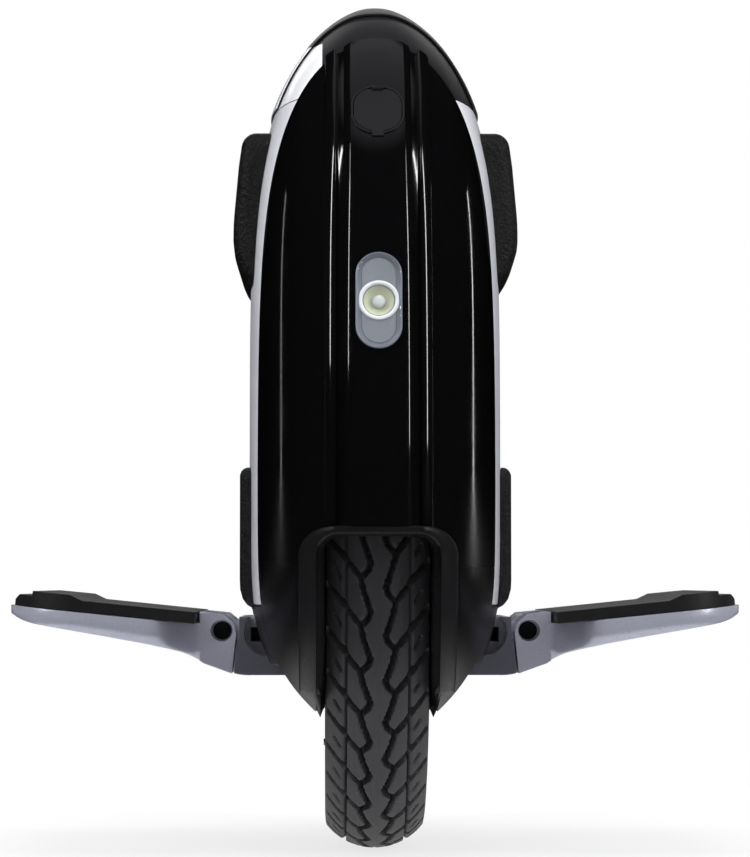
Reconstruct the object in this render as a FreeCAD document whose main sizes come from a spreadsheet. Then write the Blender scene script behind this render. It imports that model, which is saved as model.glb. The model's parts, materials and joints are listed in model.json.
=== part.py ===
import FreeCAD
import Part

import math
import os
import re

import Sketcher

# Electric unicycle. Origin on the ground under the axle, +Z up, front towards -Y, right side +X.
# Each length that can be set by itself is one cell of the sheet "sizes", in millimetres.
SIZES = {
    # tyre and tube
    "tyre_radius": 178.0,
    "tyre_width": 55.5,
    "tyre_height": 51.0,
    "tread_inset": 0.75,
    "tread_drop": 13.0,
    "sidewall_drop": 25.0,
    "crown_wall": 14.0,
    "sidewall_wall": 5.0,
    "bead_inset": 8.0,
    "bead_width": 6.7,
    "tube_radius": 15.5,
    "tube_wall": 1.5,
    "tube_gap": 0.5,
    # rim
    "bead_gap": 0.3,
    "rim_flange_wall": 2.5,
    "rim_flange_height": 7.3,
    "rim_well_depth": 5.5,
    "rim_well_half_width": 10.0,
    "rim_well_slope": 2.0,
    "rim_wall": 4.8,
    "valve_radius": 2.5,
    "valve_reach": 5.0,
    "valve_gap": 0.3,
    # hub motor
    "press_gap": 0.05,
    "rotor_wall": 6.0,
    "rotor_half_width": 17.0,
    "magnet_width": 20.0,
    "magnet_wall": 3.5,
    "magnet_half_length": 16.0,
    "air_gap": 0.9,
    "stator_wall": 24.0,
    "stator_half_width": 15.0,
    "coil_slot_width": 8.0,
    "coil_slot_depth": 14.0,
    "coil_overhang": 4.0,
    "coil_gap": 0.2,
    "hub_half_width": 7.0,
    "hub_rim_wall": 8.0,
    "hub_boss_wall": 9.0,
    "hub_web_wall": 6.0,
    "motor_cover_wall": 4.0,
    "motor_cover_lap": 4.5,
    "motor_boss_wall": 8.5,
    "motor_boss_proud": 7.0,
    "cover_screw_radius": 1.5,
    "cover_screw_head_radius": 1.9,
    "cover_screw_head_height": 2.0,
    "cover_screw_length": 9.0,
    # axle and bearings
    "axle_radius": 10.0,
    "axle_end_radius": 8.0,
    "collar_radius": 13.0,
    "collar_width": 10.4,
    "bearing_radius": 23.5,
    "bearing_width": 14.0,
    "running_gap": 0.05,
    "washer_wall": 1.5,
    "washer_radius": 14.0,
    "nut_across": 24.0,
    "nut_height": 8.0,
    "axle_overhang": 1.0,
    # outer form of the shell
    "tyre_gap": 9.0,
    "liner_wall": 2.5,
    "cover_gap": 7.3,
    "shell_wall": 3.2,
    "shell_clearance": 0.8,
    "waist_rise": 27.0,
    "waist_drop": 195.0,
    "bay_height": 44.5,
    "handle_rise": 63.0,
    "foot_drop": 97.0,
    "side_foot_drop": 40.0,
    "seam_reach": 107.0,
    "seam_gap": 0.3,
    "glue_gap": 0.3,
    # front and rear covers
    "arch_clearance": 4.75,
    "arch_top_rise": -2.2,
    "arch_corner_radius": 12.0,
    "arch_flange_wall": 2.5,
    "arch_roof_depth": 13.0,
    "trim_width": 8.0,
    "trim_foot_rise": 10.0,
    "ridge_inner_offset": 22.0,
    "ridge_width": 6.0,
    "ridge_height": 2.5,
    "panel_half_width": 18.0,
    "panel_height": 2.4,
    "panel_overhang": 0.5,
    # carry handle
    "grip_slot_half_length": 58.0,
    "grip_slot_rise": 12.0,
    "grip_slot_height": 26.0,
    "grip_bar_half_width": 21.0,
    "band_margin": 9.0,
    "band_height": 1.6,
    "leg_pocket_length": 16.0,
    "leg_pocket_half_width": 20.0,
    "leg_pocket_height": 24.0,
    # wheel arch liner
    "liner_depth": 40.0,
    "liner_shoulder": 20.0,
    "liner_crown_half_width": 20.0,
    # headlight and tail light
    "lamp_rise": 117.3,
    "lamp_half_width": 12.0,
    "lamp_half_height": 25.75,
    "lamp_depth": 11.0,
    "lamp_rim": 1.8,
    "lamp_floor": 2.5,
    "lamp_gap": 0.2,
    "lens_wall": 1.5,
    "lens_inset": 0.4,
    "reflector_radius": 9.6,
    "reflector_height": 5.0,
    "reflector_rim": 1.6,
    "reflector_floor": 1.2,
    "led_radius": 3.2,
    "led_height": 1.5,
    # charge port and power button
    "port_drop": 74.7,
    "port_half_width": 12.7,
    "port_half_height": 16.0,
    "port_floor": 2.0,
    "port_rim": 1.5,
    "cap_wall": 2.4,
    "cap_gap": 0.4,
    "cap_knuckle_half_width": 3.0,
    "cap_knuckle_radius": 1.0,
    "cap_plug_radius": 6.0,
    "cap_plug_height": 2.5,
    "cap_tab_half_width": 3.0,
    "cap_tab_reach": 3.0,
    "cap_tab_wall": 1.0,
    "socket_wall": 1.6,
    "socket_gap": 0.6,
    "socket_length": 9.0,
    "socket_floor": 2.0,
    "socket_step": 0.8,
    "button_radius": 9.0,
    "button_gap": 0.3,
    "button_proud": 2.5,
    "button_flange": 1.2,
    "button_flange_wall": 1.5,
    "button_travel": 1.8,
    "button_well_wall": 1.6,
    # leg pads
    "upper_pad_drop": 99.0,
    "upper_pad_height": 92.0,
    "upper_pad_half_length": 76.0,
    "upper_pad_wall": 10.5,
    "upper_pad_top_wall": 4.5,
    "upper_pad_foot_wall": 1.5,
    "upper_pad_bevel": 20.0,
    "upper_pad_belly": 36.0,
    "upper_pad_round": 6.0,
    "lower_pad_height": 85.0,
    "lower_pad_half_length": 72.0,
    "lower_pad_wall": 4.7,
    "lower_pad_foot_inset": 7.5,
    "lower_pad_bevel": 12.0,
    "lower_pad_top_bevel": 3.0,
    "lower_pad_round": 1.5,
    "pad_root": 25.0,
    # hangers
    "hanger_wall": 12.0,
    "hanger_half_length": 32.0,
    "hanger_top_rise": 26.0,
    "arm_half_length": 62.0,
    "arm_height": 32.0,
    "arm_top_rise": 7.5,
    "arm_heel": 8.0,
    "arm_gap": 0.6,
    "guard_drop": 33.0,
    "lug_radius": 8.5,
    "lug_half_length": 30.0,
    "scoop_radius": 14.0,
    "scoop_depth": 29.0,
    "scoop_wall": 2.5,
    "scoop_foot": 10.0,
    "window_width": 6.5,
    "window_height": 8.0,
    "window_inset": 5.5,
    "window_drop": 6.0,
    "standoff_radius": 4.0,
    "standoff_reach": 22.0,
    "standoff_rise": 17.0,
    "clamp_bolt_radius": 2.5,
    "clamp_bolt_head_radius": 4.2,
    "clamp_bolt_head_height": 4.0,
    "clamp_bolt_reach": 20.0,
    "clamp_bolt_drop": 18.0,
    # pedals, from the pin outwards
    "pivot_drop": 54.5,
    "fold_clearance": 0.4,
    "deck_rise": 9.1,
    "pin_radius": 5.0,
    "pin_half_length": 53.0,
    "pin_bore_radius": 6.0,
    "ear_gap": 0.5,
    "root_back": 8.0,
    "root_drop": 23.0,
    "root_foot_reach": 8.0,
    "root_foot_rise": 4.0,
    "root_neck_reach": 19.0,
    "root_neck_drop": 13.5,
    "root_slot_reach": 11.0,
    "deck_reach": 116.0,
    "deck_half_length": 100.0,
    "deck_wall": 12.0,
    "deck_mid_reach": 57.0,
    "deck_tip_wall": 5.0,
    "deck_tip_slope": 12.0,
    "deck_corner_radius": 36.0,
    "grip_wall": 6.5,
    "grip_reach": 14.0,
    "grip_margin": 1.5,
    "grip_gap": 0.2,
    "strip_inset": 12.5,
    "strip_width": 21.0,
    "strip_height": 2.5,
    "strip_ramp": 7.0,
    # electronics
    "battery_half_length": 88.0,
    "battery_drop": 142.5,
    "battery_height": 103.0,
    "battery_wall": 21.0,
    "battery_round": 5.0,
    "heatsink_half_length": 55.0,
    "heatsink_half_width": 32.0,
    "heatsink_wall": 5.0,
    "board_wall": 1.8,
    "board_margin": 3.0,
    "capacitor_radius": 6.0,
    "capacitor_height": 16.0,
    "capacitor_pitch": 18.0,
    "cable_radius": 2.6,
    "cable_rise": 12.0,
    "cable_reach": 98.0,
    "cable_loop": 16.0,
    "seat_gap": 0.1,
    # allowance that lets a cut run past the face that it opens
    "overrun": 20.0,
}

# Places that follow from those lengths, outwards from the tyre.
FOLLOWS = {
    "axle_height": "tyre_radius",
    "bead_radius": "tyre_radius - tyre_height",
    "bead_half_width": "tyre_width / 2 - bead_inset",
    "tread_half_width": "tyre_width / 2 - tread_inset",
    "tread_arc_radius": "(tread_half_width ^ 2 + tread_drop ^ 2) / (2 * tread_drop)",
    "tube_ring_radius": "tyre_radius - crown_wall - tube_gap - tube_radius",
    "rim_seat_radius": "bead_radius - bead_gap",
    "rim_flange_radius": "rim_seat_radius + rim_flange_height",
    "rim_half_width": "bead_half_width + bead_gap + rim_flange_wall",
    "rim_well_radius": "rim_seat_radius - rim_well_depth",
    "rim_bore_radius": "rim_well_radius - rim_wall",
    "rotor_bore_radius": "rim_bore_radius - press_gap - rotor_wall",
    "magnet_back_radius": "sqrt((rotor_bore_radius - press_gap) ^ 2 - (magnet_width / 2) ^ 2)",
    "stator_radius": "magnet_back_radius - magnet_wall - air_gap",
    "stator_bore_radius": "stator_radius - stator_wall",
    "motor_cover_radius": "rim_bore_radius + motor_cover_lap",
    "motor_cover_face": "rim_half_width + seat_gap + motor_cover_wall",
    "bearing_face": "motor_cover_face + motor_boss_proud",
    "hanger_offset": "bearing_face + collar_width",
    "hanger_face": "hanger_offset + hanger_wall",
    "axle_reach": "hanger_face + washer_wall + nut_height + axle_overhang",
    "shell_half_width": "axle_reach + shell_clearance + shell_wall",
    "liner_radius": "tyre_radius + tyre_gap",
    "liner_back_radius": "liner_radius + liner_wall",
    "liner_top_height": "axle_height + liner_back_radius",
    "shell_half_length": "liner_back_radius + cover_gap + shell_wall",
    "waist_height": "axle_height + waist_rise",
    "handle_base_height": "liner_top_height + bay_height",
    "crown_height": "handle_base_height + handle_rise",
    "crown_rise": "crown_height - waist_height",
    "cover_foot_height": "axle_height - foot_drop",
    "side_foot_height": "axle_height - side_foot_drop",
    "arch_half_width": "tyre_width / 2 + arch_clearance",
    "arch_top_height": "axle_height + arch_top_rise",
    "liner_half_width": "arch_half_width + arch_flange_wall + seam_gap",
    "liner_side_reach": "liner_half_width + liner_wall",
    "shell_inner_reach": "liner_side_reach + seam_gap",
    "pivot_height": "axle_height - pivot_drop",
    "arm_top_height": "pivot_height + arm_top_rise",
    "arm_foot_height": "arm_top_height - arm_height",
    "lower_pad_reach": "shell_half_width + lower_pad_wall",
    "pivot_offset": "lower_pad_reach + deck_rise + fold_clearance",
    "arm_reach": "pivot_offset - deck_rise - ear_gap",
    "lower_pad_low": "arm_top_height + seam_gap",
    "upper_pad_low": "handle_base_height - upper_pad_drop",
    "grip_slot_height_low": "handle_base_height + grip_slot_rise",
    "socket_bore_radius": "cap_plug_radius + socket_gap",
    "socket_radius": "socket_bore_radius + socket_wall",
    "port_depth": "cap_wall + cap_gap + port_floor",
    "board_height": "liner_top_height + seam_gap + heatsink_wall + seat_gap",
    "cable_offset": "(liner_side_reach + hanger_offset) / 2",
}

# How full the outer form is: powers of its plan, side and front outlines, and its tuck under the sides.
PLAN_POWER = 2.5
SIDE_POWER = 2.2
FRONT_POWER = 4.8
FRONT_ROOT = 1.6
TUCK_POWER = 3.6
TUCK_SHARE = 0.44
CROWN_SHARES = (0.3, 0.55, 0.72, 0.84, 0.92, 0.965, 0.988)
FOOT_SHARES = (0.0, 0.15, 0.35, 0.65)
RING_POINTS = 24
MAGNET_COUNT = 28
COIL_COUNT = 27
COVER_SCREW_COUNT = 8
CAPACITOR_COUNT = 5
DECK_SLOPE_DEG = 5.8

doc = FreeCAD.newDocument("electric_unicycle")
sheet = doc.addObject("Spreadsheet::Sheet", "sizes")
for row, (alias, value) in enumerate(SIZES.items(), start=1):
    sheet.set(f"A{row}", alias)
    sheet.set(f"B{row}", str(value))
    sheet.setAlias(f"B{row}", alias)
doc.recompute()

nodes = {}
AXIS_X = FreeCAD.Vector(1, 0, 0)
AXIS_Y = FreeCAD.Vector(0, 1, 0)
AXIS_Z = FreeCAD.Vector(0, 0, 1)
TURNS = {
    "X": FreeCAD.Rotation(AXIS_Y, 90),
    "Y": FreeCAD.Rotation(AXIS_X, -90),
    "Z": FreeCAD.Rotation(),
}


def cells(text):
    """An expression in plain names, with each name pointed at its cell or worked out from other names."""
    def cell(found):
        name = found[0]
        if name in SIZES:
            return f"sizes.{name}"
        if name in FOLLOWS:
            return f"({cells(FOLLOWS[name])})"
        return name
    return re.sub(r"[a-z_]\w*", cell, str(text))


def size(text):
    """The value, in millimetres, of a name or of an expression in names."""
    return float(sheet.evalExpression(cells(text)))


def bind(obj, **expressions):
    for name, text in expressions.items():
        obj.setExpression(name.replace("__", "."), cells(text))
    return obj


def at(obj, x="0", y="0", z="0"):
    return bind(obj, Placement__Base__x=x, Placement__Base__y=y, Placement__Base__z=z)


def node(label, obj):
    """Keeps obj as a sub-part under that label, which names its file."""
    obj.Label = label
    nodes[label] = obj
    return obj


def box(name, x, y, z, turn=None):
    """A box between two expressions along each axis, turned about the origin where turn is given."""
    made = doc.addObject("Part::Box", name)
    bind(made, Length=f"({x[1]}) - ({x[0]})", Width=f"({y[1]}) - ({y[0]})", Height=f"({z[1]}) - ({z[0]})")
    return set_down(made, FreeCAD.Rotation(), (x[0], y[0], z[0]), turn)


def rod(name, axis, radius, length, x="0", y="0", z="0", turn=None):
    """A round bar from a place along an axis, turned about the origin where turn is given."""
    made = doc.addObject("Part::Cylinder", name)
    bind(made, Radius=radius, Height=length)
    return set_down(made, TURNS[axis], (x, y, z), turn)


def set_down(made, rotation, place, turn):
    if turn:
        local = FreeCAD.Placement(FreeCAD.Vector(*[size(text) for text in place]), rotation)
        made.Placement = FreeCAD.Placement(FreeCAD.Vector(), turn).multiply(local)
        return made
    made.Placement.Rotation = rotation
    return at(made, *place)


def both(reach):
    """The span from -reach to reach."""
    return f"-({reach})", reach


def fuse(name, *items):
    made = doc.addObject("Part::MultiFuse", name)
    made.Shapes = list(items)
    return made


def cut(name, base, *tools):
    for count, tool in enumerate(tools, start=1):
        made = doc.addObject("Part::Cut", name if count == len(tools) else f"{name}_cut_{count}")
        made.Base = base
        made.Tool = tool
        base = made
    return base


def common(name, *items):
    made = doc.addObject("Part::MultiCommon", name)
    made.Shapes = list(items)
    return made


def group(name, items):
    made = doc.addObject("Part::Compound", name)
    made.Links = list(items)
    return made


def mirrored(name, source, normal):
    made = doc.addObject("Part::Mirroring", name)
    made.Source = source
    made.Base = FreeCAD.Vector()
    made.Normal = normal
    return made


def pair(name, right):
    """Keeps the right-hand piece and its mirror image on the left."""
    node(f"{name}_right", right)
    node(f"{name}_left", mirrored(f"{name}_left", right, AXIS_X))


def outline(body, corners, arc_centre=None):
    """A closed sketch through corners, pairs of expressions, its first side an arc if arc_centre is set."""
    sketch = body.newObject("Sketcher::SketchObject", f"{body.Name}_sketch")
    plane = next(f for f in body.Origin.OriginFeatures if f.Role == "XZ_Plane")
    sketch.AttachmentSupport = [(plane, "")]
    sketch.MapMode = "FlatFace"
    points = [FreeCAD.Vector(size(x), size(y), 0) for x, y in corners]
    starts = [1] * len(points)
    sides = [Part.LineSegment(*ends) for ends in zip(points, points[1:] + points[:1])]
    if arc_centre:
        centre = FreeCAD.Vector(0, size(arc_centre), 0)
        first, last = (math.atan2(p.y - centre.y, p.x) for p in (points[1], points[0]))
        circle = Part.Circle(centre, AXIS_Z, (points[0] - centre).Length)
        sides[0] = Part.ArcOfCircle(circle, first, last)
        starts[0] = 2
    for side in sides:
        sketch.addGeometry(side)
    for side, (x, y) in enumerate(corners):
        following = (side + 1) % len(corners)
        sketch.addConstraint(
            Sketcher.Constraint("Coincident", side, 3 - starts[side], following, starts[following])
        )
        for kind, text in (("DistanceX", x), ("DistanceY", y)):
            place = sketch.addConstraint(Sketcher.Constraint(kind, -1, 1, side, starts[side], size(text)))
            sketch.setExpression(f"Constraints[{place}]", cells(text))
    if arc_centre:
        place = sketch.addConstraint(Sketcher.Constraint("DistanceY", -1, 1, 0, 3, size(arc_centre)))
        sketch.setExpression(f"Constraints[{place}]", cells(arc_centre))
    return sketch


def turned(name, corners, arc_centre=None, angle=None):
    """A ring turned about the axle from its section, pairs of (across, radius), standing at axle height."""
    body = doc.addObject("PartDesign::Body", name)
    sketch = outline(body, corners, arc_centre)
    turn = body.newObject("PartDesign::Revolution", f"{name}_turn")
    turn.Profile = sketch
    turn.ReferenceAxis = (sketch, ["H_Axis"])
    turn.Midplane = True
    if angle:
        bind(turn, Angle=angle)
    return at(body, z="axle_height")


def prism(name, corners, half_length, rounds=()):
    """A bar of one section, pairs of (across, up), half_length each way along Y, with some edges rounded."""
    body = doc.addObject("PartDesign::Body", name)
    sketch = outline(body, corners)
    pad = body.newObject("PartDesign::Pad", f"{name}_pad")
    pad.Profile = sketch
    pad.Midplane = True
    bind(pad, Length=f"2 * ({half_length})")
    base = pad
    for picked, radius in rounds:
        doc.recompute([sketch, pad, base])
        found = [f"Edge{i}" for i, edge in enumerate(base.Shape.Edges, start=1) if picked(edge)]
        rounding = body.newObject("PartDesign::Fillet", f"{name}_round")
        rounding.Base = (base, found)
        bind(rounding, Radius=radius)
        base = rounding
    return body


def every_edge(edge):
    return True


def ring_of(name, count, make):
    """Copies of one piece, made by make(name, turn), spread evenly round the axle."""
    turns = [FreeCAD.Rotation(AXIS_X, 360 * step / count) for step in range(count)]
    return [make(f"{name}_{step}", turn) for step, turn in enumerate(turns, start=1)]


# The outer form is a stack of superelliptic rings, drawn in to the crown and tucked under at the foot.

def form_length(height, grow=0.0):
    """Half length of the form, front to back, at a height."""
    rise = height - size("waist_height")
    span = size("crown_rise") if rise > 0 else size("waist_drop")
    share = min(abs(rise) / (span + grow), 1.0)
    return (size("shell_half_length") + grow) * (1 - share**SIDE_POWER) ** (1 / SIDE_POWER)


def form_width(height, grow=0.0):
    """Half width of the form, side to side, at a height."""
    full = size("shell_half_width")
    rise = height - size("waist_height")
    if rise > 0:
        share = min(rise / (size("crown_rise") + grow), 1.0)
        return (full + grow) * (1 - share**FRONT_POWER) ** (1 / FRONT_ROOT)
    tuck = max(size("axle_height") - height, 0) / size("foot_drop")
    return full * (1 - TUCK_SHARE * tuck**TUCK_POWER) + grow


def form_ring(height, grow):
    width = form_width(height, grow)
    length = form_length(height, grow)
    points = []
    for step in range(RING_POINTS):
        turn = 2 * math.pi * (step / RING_POINTS + 1 / 4)
        across = math.copysign(abs(math.cos(turn)) ** (2 / PLAN_POWER), math.cos(turn))
        along = math.copysign(abs(math.sin(turn)) ** (2 / PLAN_POWER), math.sin(turn))
        points.append(FreeCAD.Vector(across * width, along * length, height))
    curve = Part.BSplineCurve()
    curve.interpolate(Points=points, PeriodicFlag=True)
    return Part.Wire([curve.toShape()])


def form(name, grow=0.0, lift=0.0):
    """The closed form, grown outwards by grow, with its foot lifted by lift."""
    low = size("cover_foot_height") + lift
    waist = size("waist_height")
    heights = [low + (waist - low) * share for share in FOOT_SHARES] + [waist]
    heights += [waist + (size("crown_rise") + grow) * share for share in CROWN_SHARES]
    made = doc.addObject("Part::Feature", name)
    made.Shape = Part.makeLoft([form_ring(height, grow) for height in heights], True, False)
    return made


outer_form = form("outer_form")
inner_form = form("inner_form", -size("shell_wall"), size("shell_wall"))
panel_form = form("panel_form", size("panel_height"))
ridge_form = form("ridge_form", size("ridge_height"))
glue_form = form("glue_form", size("glue_gap"))
band_form = form("band_form", size("band_height"))

WIDE = both("shell_half_width + overrun")
LONG = both("shell_half_length + overrun")
TALL = ("0", "crown_height + overrun")
FRONT = ("-shell_half_length - overrun", "-seam_reach")


# Wheel: tyre, tube, rim with the motor's rotor, covers and bearings

node("tyre", turned(
    "tyre",
    [
        ("-tread_half_width", "tyre_radius - tread_drop"),
        ("tread_half_width", "tyre_radius - tread_drop"),
        ("tyre_width / 2", "tyre_radius - sidewall_drop"),
        ("bead_half_width", "rim_flange_radius + bead_gap"),
        ("bead_half_width", "bead_radius"),
        ("bead_half_width - bead_width", "bead_radius"),
        ("bead_half_width - bead_width", "rim_flange_radius + bead_gap"),
        ("tyre_width / 2 - sidewall_wall", "tyre_radius - sidewall_drop"),
        ("rim_well_half_width", "tyre_radius - crown_wall"),
        ("-rim_well_half_width", "tyre_radius - crown_wall"),
        ("-tyre_width / 2 + sidewall_wall", "tyre_radius - sidewall_drop"),
        ("-bead_half_width + bead_width", "rim_flange_radius + bead_gap"),
        ("-bead_half_width + bead_width", "bead_radius"),
        ("-bead_half_width", "bead_radius"),
        ("-bead_half_width", "rim_flange_radius + bead_gap"),
        ("-tyre_width / 2", "tyre_radius - sidewall_drop"),
    ],
    arc_centre="tyre_radius - tread_arc_radius",
))


def tube_torus(name, radius):
    made = doc.addObject("Part::Torus", name)
    bind(made, Radius1="tube_ring_radius", Radius2=radius)
    made.Placement.Rotation = TURNS["X"]
    return at(made, z="axle_height")


tube_skin = tube_torus("tube_skin", "tube_radius")
tube_air = tube_torus("tube_air", "tube_radius - tube_wall")
node("inner_tube", cut("inner_tube", tube_skin, tube_air))

rim_ring = turned("rim_ring", [
    ("-rim_half_width", "rim_bore_radius"),
    ("-rim_half_width", "rim_flange_radius"),
    ("-rim_half_width + rim_flange_wall", "rim_flange_radius"),
    ("-rim_half_width + rim_flange_wall", "rim_seat_radius"),
    ("-rim_well_half_width - rim_well_slope", "rim_seat_radius"),
    ("-rim_well_half_width", "rim_well_radius"),
    ("rim_well_half_width", "rim_well_radius"),
    ("rim_well_half_width + rim_well_slope", "rim_seat_radius"),
    ("rim_half_width - rim_flange_wall", "rim_seat_radius"),
    ("rim_half_width - rim_flange_wall", "rim_flange_radius"),
    ("rim_half_width", "rim_flange_radius"),
    ("rim_half_width", "rim_bore_radius"),
])
VALVE_HEIGHT = "axle_height + rim_well_radius + valve_radius + valve_gap"
valve_way = rod("valve_way", "X", "valve_radius + valve_gap", "rim_half_width + overrun", z=VALVE_HEIGHT)
node("wheel_rim", cut("wheel_rim", rim_ring, valve_way))
valve_side = rod("valve_side", "X", "valve_radius", "motor_cover_face + valve_reach", z=VALVE_HEIGHT)
valve_up = rod(
    "valve_up", "Z", "valve_radius",
    "tube_ring_radius - tube_radius - rim_well_radius - valve_radius - 2 * valve_gap",
    z=VALVE_HEIGHT,
)
node("valve_stem", fuse("valve_stem", valve_side, valve_up))

node("rotor_ring", turned("rotor_ring", [
    ("-rotor_half_width", "rotor_bore_radius"),
    ("-rotor_half_width", "rotor_bore_radius + rotor_wall"),
    ("rotor_half_width", "rotor_bore_radius + rotor_wall"),
    ("rotor_half_width", "rotor_bore_radius"),
]))


def magnet(name, turn):
    return box(
        name, both("magnet_half_length"), both("magnet_width / 2"),
        ("magnet_back_radius - magnet_wall", "magnet_back_radius"), turn,
    )


magnets = group("rotor_magnets", ring_of("magnet", MAGNET_COUNT, magnet))
node("rotor_magnets", at(magnets, z="axle_height"))

motor_cover = turned("motor_cover", [
    ("bearing_face - bearing_width", "bearing_radius + press_gap"),
    ("bearing_face", "bearing_radius + press_gap"),
    ("bearing_face", "bearing_radius + motor_boss_wall"),
    ("motor_cover_face", "bearing_radius + motor_boss_wall + motor_boss_proud"),
    ("motor_cover_face", "motor_cover_radius"),
    ("rim_half_width + seat_gap", "motor_cover_radius"),
    ("rim_half_width + seat_gap", "bearing_radius + motor_boss_wall + motor_boss_proud"),
    ("bearing_face - bearing_width", "bearing_radius + motor_boss_wall"),
])


def screw_at(name, turn, radius, start, end):
    ring = "(rim_bore_radius + motor_cover_radius) / 2"
    return rod(name, "X", radius, f"({end}) - ({start})", x=start, z=ring, turn=turn)


def screw_hole(name, turn):
    return screw_at(
        name, turn, "cover_screw_radius + press_gap",
        "motor_cover_face - cover_screw_length - press_gap", "motor_cover_face + overrun",
    )


def screw_shank(name, turn):
    return screw_at(
        name, turn, "cover_screw_radius",
        "motor_cover_face - cover_screw_length", "motor_cover_face",
    )


def screw_head(name, turn):
    return screw_at(
        name, turn, "cover_screw_head_radius",
        "motor_cover_face", "motor_cover_face + cover_screw_head_height",
    )


screw_holes = at(group("screw_holes", ring_of("screw_hole", COVER_SCREW_COUNT, screw_hole)), z="axle_height")
motor_cover_drilled = cut("motor_cover_drilled", motor_cover, screw_holes)
rim_drilled = cut("rim_drilled", nodes["wheel_rim"], screw_holes, mirrored("holes_left", screw_holes, AXIS_X))
node("wheel_rim", rim_drilled)
node("motor_cover_left", mirrored("motor_cover_left", motor_cover_drilled, AXIS_X))
node("motor_cover_right", cut("motor_cover_right", motor_cover_drilled, valve_way))
shanks = ring_of("screw_shank", COVER_SCREW_COUNT, screw_shank)
heads = ring_of("screw_head", COVER_SCREW_COUNT, screw_head)
screws = [fuse(f"cover_screw_{i}", *parts) for i, parts in enumerate(zip(shanks, heads), start=1)]
screws_right = at(group("screws_right", screws), z="axle_height")
screws_left = mirrored("screws_left", screws_right, AXIS_X)
node("motor_cover_screws", group("motor_cover_screws", [screws_right, screws_left]))

bearing = turned("bearing", [
    ("bearing_face - bearing_width", "axle_radius + running_gap"),
    ("bearing_face", "axle_radius + running_gap"),
    ("bearing_face", "bearing_radius"),
    ("bearing_face - bearing_width", "bearing_radius"),
])
node("wheel_bearings", group("wheel_bearings", [bearing, mirrored("bearing_left", bearing, AXIS_X)]))

# Axle with the stator: the still half of the hub motor

node("motor_axle", turned("motor_axle", [
    ("-axle_reach", "0"),
    ("-axle_reach", "axle_end_radius"),
    ("-hanger_offset + seat_gap", "axle_end_radius"),
    ("-hanger_offset + seat_gap", "collar_radius"),
    ("-bearing_face - seat_gap", "collar_radius"),
    ("-bearing_face - seat_gap", "axle_radius"),
    ("bearing_face + seat_gap", "axle_radius"),
    ("bearing_face + seat_gap", "collar_radius"),
    ("hanger_offset - seat_gap", "collar_radius"),
    ("hanger_offset - seat_gap", "axle_end_radius"),
    ("axle_reach", "axle_end_radius"),
    ("axle_reach", "0"),
]))
node("stator_hub", turned("stator_hub", [
    ("-hub_half_width", "axle_radius + press_gap"),
    ("hub_half_width", "axle_radius + press_gap"),
    ("hub_half_width", "axle_radius + hub_boss_wall"),
    ("hub_web_wall / 2", "axle_radius + hub_boss_wall"),
    ("hub_web_wall / 2", "stator_bore_radius - hub_rim_wall"),
    ("stator_half_width", "stator_bore_radius - hub_rim_wall"),
    ("stator_half_width", "stator_bore_radius - press_gap"),
    ("-stator_half_width", "stator_bore_radius - press_gap"),
    ("-stator_half_width", "stator_bore_radius - hub_rim_wall"),
    ("-hub_web_wall / 2", "stator_bore_radius - hub_rim_wall"),
    ("-hub_web_wall / 2", "axle_radius + hub_boss_wall"),
    ("-hub_half_width", "axle_radius + hub_boss_wall"),
]))
stator_ring = turned("stator_ring", [
    ("-stator_half_width", "stator_bore_radius"),
    ("stator_half_width", "stator_bore_radius"),
    ("stator_half_width", "stator_radius"),
    ("-stator_half_width", "stator_radius"),
])


def coil_slot(name, turn):
    return box(
        name, both("stator_half_width + overrun"), both("coil_slot_width / 2"),
        ("stator_radius - coil_slot_depth", "stator_radius + overrun"), turn,
    )


def coil(name, turn):
    return box(
        name, both("stator_half_width + coil_overhang"), both("coil_slot_width / 2 - coil_gap"),
        ("stator_radius - coil_slot_depth + coil_gap", "stator_radius - coil_gap"), turn,
    )


coil_slots = at(group("coil_slots", ring_of("coil_slot", COIL_COUNT, coil_slot)), z="axle_height")
node("stator_core", cut("stator_core", stator_ring, coil_slots))
node("stator_coils", at(group("stator_coils", ring_of("coil", COIL_COUNT, coil)), z="axle_height"))

washer = turned("washer", [
    ("hanger_face + press_gap", "axle_end_radius + seat_gap"),
    ("hanger_face + washer_wall", "axle_end_radius + seat_gap"),
    ("hanger_face + washer_wall", "washer_radius"),
    ("hanger_face + press_gap", "washer_radius"),
])
nut_blank = doc.addObject("Part::Prism", "nut_blank")
nut_blank.Polygon = 6
nut_blank.Placement.Rotation = TURNS["X"]
bind(nut_blank, Circumradius="nut_across / sqrt(3)", Height="nut_height - press_gap")
at(nut_blank, x="hanger_face + washer_wall + press_gap", z="axle_height")
nut_bore = rod(
    "nut_bore", "X", "axle_end_radius + press_gap", "nut_height + overrun",
    x="hanger_face + washer_wall - press_gap", z="axle_height",
)
nut = cut("nut", nut_blank, nut_bore)
node("axle_nuts", group("axle_nuts", [nut, mirrored("nut_left", nut, AXIS_X)]))
node("axle_washers", group("axle_washers", [washer, mirrored("washer_left", washer, AXIS_X)]))

# Wheel arch liner: a channel over the tyre, closed on both sides down to liner_depth

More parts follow.
